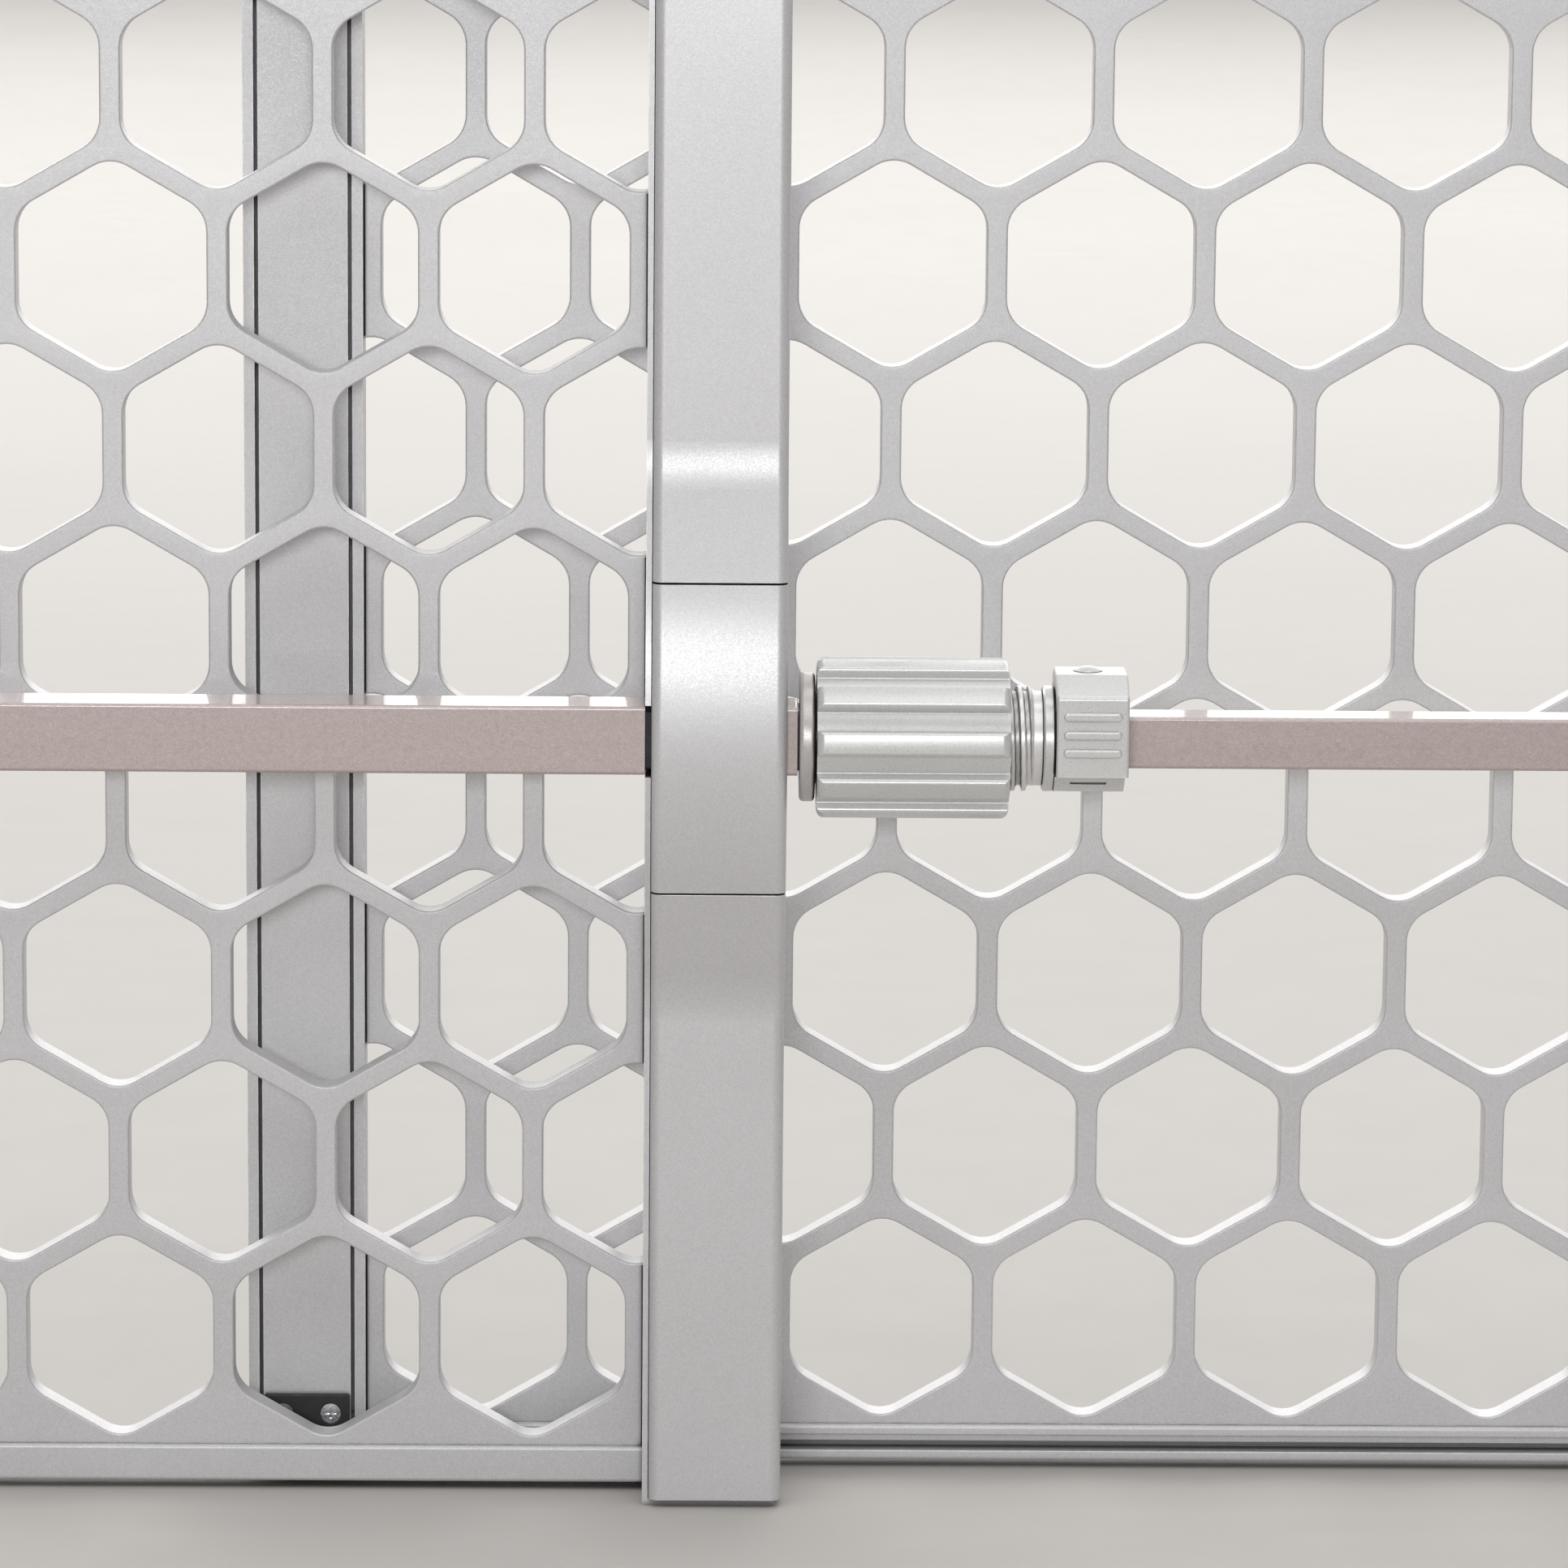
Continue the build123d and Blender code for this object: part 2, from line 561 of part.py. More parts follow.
with BuildPart() as tube_glide:
    with BuildSketch(bar_plane(INNER_TUBE_X - GLIDE_CAP_THICKNESS)):
        RectangleRounded(GLIDE_CAP, GLIDE_CAP, 2.0)
    extrude(amount=GLIDE_CAP_THICKNESS)
    with BuildSketch(bar_plane(INNER_TUBE_X)):
        RectangleRounded(GLIDE_PLUG, GLIDE_PLUG, 1.0)
    extrude(amount=GLIDE_PLUG_LENGTH)
save(tube_glide.part, "tube_glide")


def bar_block(left_x, right_x, front_y, back_y, bore, bore_left, bore_right, open_front, post_back_y):
    """Block that ties the bar to a post: a bore or a front-opening cradle, and screw holes."""
    middle_x = (left_x + right_x) / 2
    with BuildPart() as block:
        with BuildSketch(front_plane(back_y)):
            with Locations((middle_x, BAR_Z)):
                RectangleRounded(right_x - left_x, 2 * BLOCK_HALF_HEIGHT, 2.0)
        extrude(amount=back_y - front_y)
        with BuildSketch(bar_plane(bore_left)):
            Rectangle(bore, bore)
            if open_front:
                with Locations((-bore, 0)):
                    Rectangle(2 * bore, bore)
        extrude(amount=bore_right - bore_left, mode=Mode.SUBTRACT)
        with Locations(Plane(origin=(middle_x, post_back_y, 0), x_dir=(-1, 0, 0), z_dir=(0, 1, 0))):
            with Locations(*SOCKET_SCREWS):
                Hole(SCREW_THREAD_HOLE_R, depth=SCREW_LENGTH + CUT_PAST)
    return block.part


save(
    bar_block(
        CENTRE_POST_MIDDLE - SADDLE_HALF_WIDTH,
        CENTRE_POST_MIDDLE + SADDLE_HALF_WIDTH,
        SADDLE_FRONT_Y,
        FRONT_POST_BACK_Y - POST_BACK_WALL - BLOCK_TO_WALL,
        OUTER_TUBE + TUBE_FIT,
        CENTRE_POST_X,
        CENTRE_POST_RIGHT_X,
        True,
        FRONT_POST_BACK_Y,
    ),
    "bar_saddle",
)
save(
    bar_block(
        LEFT_POST_X + END_POST_INSET,
        LEFT_POST_X + END_POST_WIDTH - END_POST_INSET,
        LEFT_SOCKET_FRONT_Y,
        FRONT_POST_BACK_Y - POST_BACK_WALL - BLOCK_TO_WALL,
        OUTER_TUBE + TUBE_FIT,
        OUTER_TUBE_X - 0.5,
        LEFT_POST_X + END_POST_WIDTH,
        False,
        FRONT_POST_BACK_Y,
    ),
    "left_bar_socket",
)
save(
    bar_block(
        RIGHT_POST_X + END_POST_INSET,
        RIGHT_POST_X + END_POST_WIDTH - END_POST_INSET,
        RIGHT_SOCKET_FRONT_Y,
        REAR_POST_BACK_Y - POST_BACK_WALL - BLOCK_TO_WALL,
        INNER_TUBE + TUBE_FIT,
        RIGHT_POST_X,
        INNER_TUBE_END_X + 0.5,
        False,
        REAR_POST_BACK_Y,
    ),
    "right_bar_socket",
)


# ---------------------------------------------------------------- screws
def countersunk_screw():
    """Screw with its flat head in the XY plane, shank down, and a cross recess."""
    with BuildPart() as screw:
        Cone(SCREW_R, SCREW_HEAD_R, SCREW_HEAD_DEPTH, align=(Align.CENTER, Align.CENTER, Align.MAX))
        Cylinder(SCREW_R, SCREW_LENGTH, align=(Align.CENTER, Align.CENTER, Align.MAX))
        for angle in (0, 90):
            Box(CROSS_LENGTH, CROSS_WIDTH, 2 * CROSS_DEPTH, rotation=(0, 0, angle), mode=Mode.SUBTRACT)
    return screw.part


def screw_group(middle_x, head_y, facing, spots, name):
    """Screws of one group, heads facing to the front (-1) or to the back (+1)."""
    screw = countersunk_screw()
    with BuildPart() as group:
        with Locations(Plane(origin=(middle_x, head_y, 0), x_dir=(-facing, 0, 0), z_dir=(0, facing, 0))):
            with Locations(*spots):
                add(screw)
    save(group.part, name)


screw_group(CENTRE_POST_MIDDLE, FRONT_POST_BACK_Y - HEAD_RECESS, 1, SOCKET_SCREWS, "saddle_screws")
screw_group(LEFT_POST_MIDDLE, FRONT_POST_BACK_Y - HEAD_RECESS, 1, SOCKET_SCREWS, "left_socket_screws")
screw_group(RIGHT_POST_MIDDLE, REAR_POST_BACK_Y - HEAD_RECESS, 1, SOCKET_SCREWS, "right_socket_screws")


# ---------------------------------------------------------------- panel glides
def glide_pair(middle_x, post_y, facing, groove_y, name):
    """Plate and tongue at the foot and at the top, each tongue in the other panel's rail."""
    tip_y = groove_y + facing * (RAIL_GROOVE_DEPTH - GLIDE_TIP_GAP)
    outer_y = post_y + facing * GLIDE_PLATE
    foot = (GLIDE_PLATE_Z, RAIL_MIDDLE)
    top = (HEIGHT - GLIDE_PLATE_Z, HEIGHT - RAIL_MIDDLE)
    with BuildPart() as pair:
        for z_middle, rail_z in (foot, top):
            with Locations((middle_x, post_y + facing * GLIDE_PLATE / 2, z_middle)):
                Box(GLIDE_WIDTH, GLIDE_PLATE, GLIDE_PLATE_HEIGHT)
            with Locations((middle_x, (post_y + tip_y) / 2, rail_z)):
                Box(GLIDE_WIDTH, abs(tip_y - post_y), GLIDE_TONGUE)
        with Locations(Plane(origin=(middle_x, outer_y, 0), x_dir=(-facing, 0, 0), z_dir=(0, facing, 0))):
            with Locations(*GLIDE_SCREWS):
                CounterSinkHole(SCREW_HOLE_R, SCREW_HEAD_HOLE_R, depth=2 * GLIDE_PLATE)
    save(pair.part, name)
    screw_group(middle_x, outer_y - facing * HEAD_RECESS, facing, GLIDE_SCREWS, f"{name}_screws")


glide_pair(CENTRE_POST_MIDDLE, FRONT_POST_BACK_Y, 1, REAR_RAIL_Y, "centre_post_glides")
glide_pair(REAR_POST_MIDDLE, REAR_POST_FACE_Y, -1, FRONT_RAIL_Y + FRAME_RAIL_DEPTH, "rear_post_glides")


# ---------------------------------------------------------------- wall pads
def wall_pads(post_side_x, facing, name):
    """Two rubber pads on the outside of an end post, facing left (-1) or right (+1)."""
    with BuildPart() as pads:
        for z in PAD_ZS:
            face = Plane(origin=(post_side_x, PAD_Y, z), x_dir=(0, facing, 0), z_dir=(facing, 0, 0))
            with BuildSketch(face):
                RectangleRounded(PAD_DEPTH, PAD_HEIGHT, PAD_CORNER_R)
            extrude(amount=WALL_PAD_THICKNESS)
            with BuildSketch(face.offset(WALL_PAD_THICKNESS)):
                with GridLocations(0, PAD_GROOVE_STEP, 1, PAD_GROOVES):
                    SlotOverall(PAD_DEPTH - 8, PAD_GROOVE_WIDTH)
            extrude(amount=-PAD_GROOVE_DEPTH, mode=Mode.SUBTRACT)
            with BuildSketch(face):
                Circle(PAD_PEG_R)
            extrude(amount=-PAD_PEG_LENGTH)
    save(pads.part, name)


wall_pads(LEFT_POST_X, -1, "left_wall_pads")
wall_pads(RIGHT_POST_X + END_POST_WIDTH, 1, "right_wall_pads")


# ---------------------------------------------------------------- tension mechanism
# collar: a bush in the stub's mouth, a round flange and the journal that the knob turns on
with BuildPart() as collar_flange:
    with BuildSketch(bar_plane(BUSH_X)):
        RectangleRounded(COLLAR_BUSH, COLLAR_BUSH, 1.0)
    extrude(amount=FLANGE_X - BUSH_X)
    with BuildSketch(BAR_SIDE_PLANE):
        with BuildLine():
            Polyline(
                (FLANGE_X, 0),
                (FLANGE_X, FLANGE_R),
                (FLANGE_X + FLANGE_LENGTH, FLANGE_R),
                (FLANGE_X + FLANGE_LENGTH, JOURNAL_R),
                (RING_GROOVE_X, JOURNAL_R),
                (RING_GROOVE_X, JOURNAL_R - RING_GROOVE_DEPTH),
                (RING_GROOVE_X + RING_GROOVE, JOURNAL_R - RING_GROOVE_DEPTH),
                (RING_GROOVE_X + RING_GROOVE, JOURNAL_R),
                (JOURNAL_END_X, JOURNAL_R),
                (JOURNAL_END_X, 0),
                close=True,
            )
        make_face()
    revolve(axis=BAR_AXIS)
    circles = collar_flange.edges().filter_by(GeomType.CIRCLE)
    rims = circles.filter_by(lambda edge: edge.radius > FLANGE_R - 0.1)
    fillet(rims, FLANGE_RIM_R)
    with BuildSketch(bar_plane(BUSH_X - CUT_PAST)):
        Rectangle(SLIDING_BORE, SLIDING_BORE)
    extrude(amount=JOURNAL_END_X - BUSH_X + 2 * CUT_PAST, mode=Mode.SUBTRACT)
save(collar_flange.part, "collar_flange")

with BuildPart() as retaining_ring:
    with BuildSketch(bar_plane(RING_GROOVE_X + 0.1)):
        Circle(JOURNAL_R + 3.0)
        Circle(JOURNAL_R - 1.1, mode=Mode.SUBTRACT)
        # gap at the foot, for springing it open
        with Locations((0, -JOURNAL_R - 1)):
            Rectangle(9, 9, mode=Mode.SUBTRACT)
    extrude(amount=RING_GROOVE - 0.2)
save(retaining_ring.part, "retaining_ring")

# knob: ribbed barrel on the collar's journal
with BuildPart() as knob:
    with BuildSketch(bar_plane(KNOB_X)) as knob_section:
        Circle(KNOB_VALLEY_R)
        rib_middle_r = (KNOB_VALLEY_R + KNOB_CREST_R) / 2 - CUT_PAST
        with PolarLocations(rib_middle_r, KNOB_RIBS, start_angle=180 - KNOB_TURN_AT_REST):
            Rectangle(KNOB_CREST_R - KNOB_VALLEY_R + 2 * CUT_PAST, KNOB_RIB_WIDTH)
        crests = [v for v in knob_section.vertices() if math.hypot(v.X, v.Y) > KNOB_CREST_R - 1]
        fillet(crests, KNOB_RIB_CORNER_R)
        roots = [v for v in knob_section.vertices() if abs(math.hypot(v.X, v.Y) - KNOB_VALLEY_R) < 0.3]
        fillet(roots, KNOB_RIB_ROOT_R)
    extrude(amount=KNOB_LENGTH)
    # rounded ends
    with BuildSketch(BAR_SIDE_PLANE) as envelope:
        with Locations((KNOB_X + KNOB_LENGTH / 2, KNOB_CREST_R / 2)):
            Rectangle(KNOB_LENGTH, KNOB_CREST_R)
        fillet(envelope.vertices().group_by(Axis.Y)[-1], KNOB_END_R)
    revolve(axis=BAR_AXIS, mode=Mode.INTERSECT)
    with BuildSketch(bar_plane(KNOB_X)):
        Circle(JOURNAL_R + RUNNING_FIT)
    extrude(amount=KNOB_END_WALL, mode=Mode.SUBTRACT)
    with BuildSketch(bar_plane(KNOB_X + KNOB_END_WALL)):
        Circle(KNOB_BORE_R)
    extrude(amount=KNOB_LENGTH, mode=Mode.SUBTRACT)
save(knob.part, "knob")

with BuildPart() as thread_insert:
    with BuildSketch(bar_plane(INSERT_X)):
        Circle(KNOB_BORE_R - 0.05)
        Circle(INSERT_BORE_R, mode=Mode.SUBTRACT)
    extrude(amount=INSERT_END_X - INSERT_X)
save(thread_insert.part, "thread_insert")

# threaded sleeve, keyed on the inner tube by its square bore
with BuildPart() as threaded_sleeve:
    with BuildSketch(BAR_SIDE_PLANE):
        with BuildLine():
            outline = [(SLEEVE_X, 0), (SLEEVE_X, THREAD_ROOT_R)]
            turns = int((THREAD_END_X - SLEEVE_X) / THREAD_PITCH)
            first_turn_x = THREAD_END_X - turns * THREAD_PITCH
            for turn in range(turns):
                x = first_turn_x + turn * THREAD_PITCH
                outline += [
                    (x, THREAD_ROOT_R),
                    (x + 0.9, THREAD_CREST_R),
                    (x + 2.1, THREAD_CREST_R),
                    (x + 3.0, THREAD_ROOT_R),
                ]
            outline += [
                (NECK_END_X, THREAD_ROOT_R),
                (NECK_END_X, SPIGOT_R),
                (SPIGOT_END_X, SPIGOT_R),
                (SPIGOT_END_X, 0),
            ]
            Polyline(*outline, close=True)
        make_face()
    revolve(axis=BAR_AXIS)
    with BuildSketch(bar_plane(SLEEVE_X - CUT_PAST)):
        Rectangle(SLIDING_BORE, SLIDING_BORE)
    extrude(amount=SPIGOT_END_X - SLEEVE_X + 2 * CUT_PAST, mode=Mode.SUBTRACT)
save(threaded_sleeve.part, "threaded_sleeve")

# lock housing: ring, square core round the tube, belly below and two hinge lugs behind
with BuildPart() as lock_housing:
    with BuildSketch(bar_plane(NECK_END_X)):
        Circle(LOCK_R)
    extrude(amount=RING_LENGTH)
    chamfer(lock_housing.edges().filter_by(GeomType.CIRCLE), 0.6)
    with BuildSketch(bar_plane(RING_END_X)):
        RectangleRounded(2 * CORE_HALF, 2 * CORE_HALF, 1.0)
    extrude(amount=LEVER_LENGTH - 2.6)
    with BuildSketch(bar_plane(RING_END_X)):
        Circle(LOCK_R)
        with Locations((0, BELLY_TOP)):
            Rectangle(60, 60, align=(Align.CENTER, Align.MIN), mode=Mode.SUBTRACT)
    extrude(amount=LEVER_LENGTH - 0.7)
    for lug_x in (LEVER_X + 3.0, LEVER_END_X - 7.0):
        with BuildSketch(bar_plane(lug_x)):
            with Locations((PIN_Y, PIN_Z)):
                Circle(LUG_R)
            with Locations((PIN_Y, PIN_Z)):
                Rectangle(2 * LUG_R, PIN_Z + 9, align=(Align.CENTER, Align.MAX))
            with Locations((PIN_Y, PIN_Z)):
                Circle(PIN_R + 0.03, mode=Mode.SUBTRACT)
        extrude(amount=4.0)
    with BuildSketch(bar_plane(NECK_END_X - CUT_PAST)):
        Rectangle(SLIDING_BORE, SLIDING_BORE)
    extrude(amount=LEVER_END_X - NECK_END_X + 2 * CUT_PAST, mode=Mode.SUBTRACT)
    with BuildSketch(bar_plane(NECK_END_X)):
        Circle(SPIGOT_R + 0.05)
    extrude(amount=RING_LENGTH, mode=Mode.SUBTRACT)
    # window for the brake pad, and the catch slot in the front of the belly
    with Locations(bar_plane(LEVER_X + BUTTON_FROM_END).location):
        with Locations((0, CORE_HALF, 0)):
            Box(2 * PAD_HALF_WIDTH + 0.6, 6, PAD_LENGTH + 0.6, mode=Mode.SUBTRACT)
        with Locations((-LOCK_R + 5, CATCH_Z, 0)):
            Box(6, 1.0, CATCH_WIDTH, mode=Mode.SUBTRACT)
save(lock_housing.part, "lock_housing")

with BuildPart() as hinge_pin:
    with BuildSketch(bar_plane(LEVER_X + 0.4)):
        with Locations((PIN_Y, PIN_Z)):
            Circle(PIN_R)
    extrude(amount=LEVER_LENGTH - 0.8)
save(hinge_pin.part, "hinge_pin")

# lever cover: shell over the core, hinged at the rear, with three grip ribs in front
with BuildPart() as lock_lever:
    with BuildSketch(bar_plane(LEVER_X)) as lever_outside:
        with BuildLine():
            Polyline(
                (LEVER_FRONT, LEVER_FOOT),
                (LEVER_FRONT, LEVER_CREASE),
                (-LEVER_FLAT, LEVER_TOP),
                (LEVER_FLAT, LEVER_TOP),
                (LEVER_BACK, LEVER_TOP - LEVER_FALL),
                (LEVER_BACK, LEVER_FOOT),
                close=True,
            )
        make_face()
        top_corners = [v for v in lever_outside.vertices() if v.Y > LEVER_CREASE - 1 and v.X < 10]
        fillet(top_corners, 2.0)
    extrude(amount=LEVER_LENGTH)
    end_edges = lock_lever.faces().filter_by(Axis.X).edges()
    end_rims = end_edges.filter_by(lambda edge: edge.center().Z > BAR_Z - 10)
    fillet(end_rims.filter_by(lambda edge: edge.center().Y < AXIS_Y + 14), 1.0)
    with BuildSketch(bar_plane(LEVER_X + LEVER_WALL)):
        with BuildLine():
            Polyline(
                (LEVER_FRONT + LEVER_WALL, LEVER_FOOT - CUT_PAST),
                (LEVER_FRONT + LEVER_WALL, LEVER_CREASE - 1.2),
                (0.5 - LEVER_FLAT, LEVER_TOP - LEVER_WALL),
                (LEVER_FLAT - 0.5, LEVER_TOP - LEVER_WALL),
                (LEVER_BACK + CUT_PAST, LEVER_TOP - LEVER_WALL - LEVER_FALL),
                (LEVER_BACK + CUT_PAST, LEVER_FOOT - CUT_PAST),
                close=True,
            )
        make_face()
    extrude(amount=LEVER_LENGTH - 2 * LEVER_WALL, mode=Mode.SUBTRACT)
    # side walls are open below, so that the shell can swing up off the tube
    with BuildSketch(bar_plane(LEVER_X - 1)):
        with Locations((-CORE_HALF - 1.0, LEVER_FOOT - 1)):
            Rectangle(40, CORE_HALF + 1.4 - LEVER_FOOT + 1, align=(Align.MIN, Align.MIN))
    extrude(amount=LEVER_LENGTH + 2, mode=Mode.SUBTRACT)
    with BuildSketch(bar_plane(LEVER_X - 1)):
        with Locations((PIN_Y, PIN_Z)):
            Circle(PIN_R + RUNNING_FIT)
    extrude(amount=LEVER_LENGTH + 2, mode=Mode.SUBTRACT)
    with Locations((LEVER_X + BUTTON_FROM_END, AXIS_Y, BAR_Z + LEVER_TOP)):
        Cylinder(BUTTON_R + 0.25, 8, mode=Mode.SUBTRACT)
    for rib_z in GRIP_RIB_ZS:
        with BuildSketch(front_plane(AXIS_Y + LEVER_FRONT)):
            with Locations((LEVER_X + LEVER_LENGTH / 2, BAR_Z + rib_z)):
                SlotOverall(GRIP_RIB_LENGTH, GRIP_RIB_HEIGHT)
        extrude(amount=GRIP_RIB_PROUD)
    rib_rims = lock_lever.faces().sort_by(Axis.Y)[: len(GRIP_RIB_ZS)].edges()
    fillet(rib_rims, GRIP_RIB_PROUD - 0.1)
save(lock_lever.part, "lock_lever")

BUTTON_PLANE = Plane(origin=(LEVER_X + BUTTON_FROM_END, AXIS_Y, BAR_Z), x_dir=(1, 0, 0), z_dir=(0, -1, 0))
BUTTON_AXIS = Axis((LEVER_X + BUTTON_FROM_END, AXIS_Y, BAR_Z), (0, 0, 1))

dome_rise = BUTTON_DOME - 0.2
dome_radius = (BUTTON_R**2 + dome_rise**2) / (2 * dome_rise)
dome_angle = math.degrees(math.asin(BUTTON_R / dome_radius))
with BuildPart() as release_button:
    with BuildSketch(BUTTON_PLANE):
        with BuildLine():
            Polyline(
                (0, LEVER_TOP + BUTTON_DOME),
                (0, BUTTON_FOOT),
                (BUTTON_R + 1.4, BUTTON_FOOT),
                (BUTTON_R + 1.4, LEVER_TOP - LEVER_WALL - 0.35),
                (BUTTON_R, LEVER_TOP - LEVER_WALL - 0.35),
                (BUTTON_R, LEVER_TOP + 0.2),
            )
            CenterArc(
                (0, LEVER_TOP + BUTTON_DOME - dome_radius),
                dome_radius,
                90 - dome_angle,
                dome_angle,
            )
        make_face()
    revolve(axis=BUTTON_AXIS)
save(release_button.part, "release_button")

with BuildPart() as button_cup:
    with BuildSketch(Plane(origin=(LEVER_X + BUTTON_FROM_END, AXIS_Y, BAR_Z + CUP_FOOT))):
        Circle(CUP_R)
    extrude(amount=LEVER_TOP - LEVER_WALL - CUP_FOOT - 0.02)
    with BuildSketch(Plane(origin=(LEVER_X + BUTTON_FROM_END, AXIS_Y, BAR_Z + CUP_FOOT + 1.2))):
        Circle(CUP_R - 1.4)
    extrude(amount=10, mode=Mode.SUBTRACT)
save(button_cup.part, "button_cup")

with BuildPart() as button_spring:
    with BuildLine():
        coil = Helix(
            pitch=0.9,
            height=BUTTON_FOOT - CUP_FOOT - 2.2,
            radius=4.6,
            center=(LEVER_X + BUTTON_FROM_END, AXIS_Y, BAR_Z + CUP_FOOT + 1.65),
        )
    with BuildSketch(Plane(origin=coil @ 0, z_dir=coil % 0)):
        Circle(0.3)
    sweep(path=coil, is_frenet=True)
save(button_spring.part, "button_spring")

with BuildPart() as brake_pad:
    with Locations(bar_plane(LEVER_X + BUTTON_FROM_END).location):
        with Locations((0, INNER_TUBE / 2 + 0.3, 0)):
            Box(2 * PAD_HALF_WIDTH, PAD_THICKNESS, PAD_LENGTH, align=(Align.CENTER, Align.MIN, Align.CENTER))
    fillet(brake_pad.edges().filter_by(Axis.Z), 1.0)
save(brake_pad.part, "brake_pad")
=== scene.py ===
import json
import math

import bmesh
import bpy
from mathutils import Matrix, Vector

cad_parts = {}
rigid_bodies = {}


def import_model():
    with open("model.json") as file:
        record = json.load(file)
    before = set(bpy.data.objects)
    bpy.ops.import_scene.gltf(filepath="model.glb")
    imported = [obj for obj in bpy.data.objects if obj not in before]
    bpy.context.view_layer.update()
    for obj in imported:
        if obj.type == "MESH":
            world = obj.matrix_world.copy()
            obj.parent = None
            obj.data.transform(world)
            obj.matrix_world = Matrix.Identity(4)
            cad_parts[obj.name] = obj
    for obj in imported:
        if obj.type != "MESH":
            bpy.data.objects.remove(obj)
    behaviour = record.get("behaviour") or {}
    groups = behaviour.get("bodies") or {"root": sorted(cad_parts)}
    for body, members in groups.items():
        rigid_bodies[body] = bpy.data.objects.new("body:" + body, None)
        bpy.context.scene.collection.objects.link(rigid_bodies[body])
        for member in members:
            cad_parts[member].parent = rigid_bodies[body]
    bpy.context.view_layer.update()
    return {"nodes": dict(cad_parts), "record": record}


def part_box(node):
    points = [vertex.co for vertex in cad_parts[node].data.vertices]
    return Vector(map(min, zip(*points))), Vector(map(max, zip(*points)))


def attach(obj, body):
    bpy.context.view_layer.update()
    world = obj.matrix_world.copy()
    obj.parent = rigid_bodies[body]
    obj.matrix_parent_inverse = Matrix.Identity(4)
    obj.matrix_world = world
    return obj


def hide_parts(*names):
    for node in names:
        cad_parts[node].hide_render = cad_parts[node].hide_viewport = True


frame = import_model()
nodes = frame["nodes"]

# ---------------------------------------------------------------- sizes, in metres
MM = 0.001
SHARP_ANGLE = math.radians(40)      # edges that turn more than this stay sharp or get rounded
WELD_DISTANCE = 0.002 * MM

# camera: where it stands, and which way it looks
CAMERA_PLACE = Vector((0.072, -2.385, 0.677))
CAMERA_DOWN = math.radians(9.68)
CAMERA_RIGHT = math.radians(0.76)
CAMERA_ROLL = math.radians(0.49)
LENS = 150.8                # millimetres, on a 36 mm sensor

# honeycomb
PITCH = 77.0 * MM
HOLE_FLAT = 69.3 * MM
HOLE_CORNER_R = 12.5 * MM
COLUMNS = 7
ROWS = 8
ROW_STEP = PITCH * math.sqrt(3) / 2
RAIL_PAST_STRUT = 16.6 * MM     # frame rail's end past the outermost strut line
PLATE_PAST_STRUT = 2.9 * MM     # plate's edge past the outermost strut line
PLATE_DEPTH = 12.0 * MM
PLATE_INSET = 2.0 * MM          # plate's front face behind the rails' front face
PLATE_ROUNDING = 0.8 * MM
RAIL_HEIGHT = 14.0 * MM
RAIL_DEPTH = 16.0 * MM
RAIL_ROUNDING = 1.6 * MM
RAIL_LIP_ROUNDING = 0.5 * MM    # at the mouth of the groove
RAIL_GROOVE_HEIGHT = 6.0 * MM
RAIL_GROOVE_DEPTH = 8.0 * MM
CORNER_STEPS = 7

# thread
THREAD_PITCH = 4.0 * MM
THREAD_CREST_R = 19.2 * MM
THREAD_ROOT_R = 17.2 * MM
THREAD_STEP = 0.25 * MM
THREAD_AROUND = 96              # points around each ring of the sleeve
THREAD_FLANK = 0.36             # width of a flank, as a share of half a pitch
THREAD_FLANK_FOOT = 0.68        # where a flank meets the root, from the crest, as the same share
THREAD_RUN_OUT = 0.35           # pitches over which the thread fades at the neck
NECK_CORNER = 0.4 * MM
SLIDING_BORE = 19.7 * MM
SPIGOT_R = 15.0 * MM
SPIGOT_LENGTH = 3.6 * MM
NECK_AND_SPIGOT = 7.1 * MM      # plain neck between the thread and the lock, and the spigot in it

# ---------------------------------------------------------------- places, from the frame
bar_low, bar_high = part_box("outer_tube")
BAR_Y = (bar_low.y + bar_high.y) / 2
BAR_Z = (bar_low.z + bar_high.z) / 2


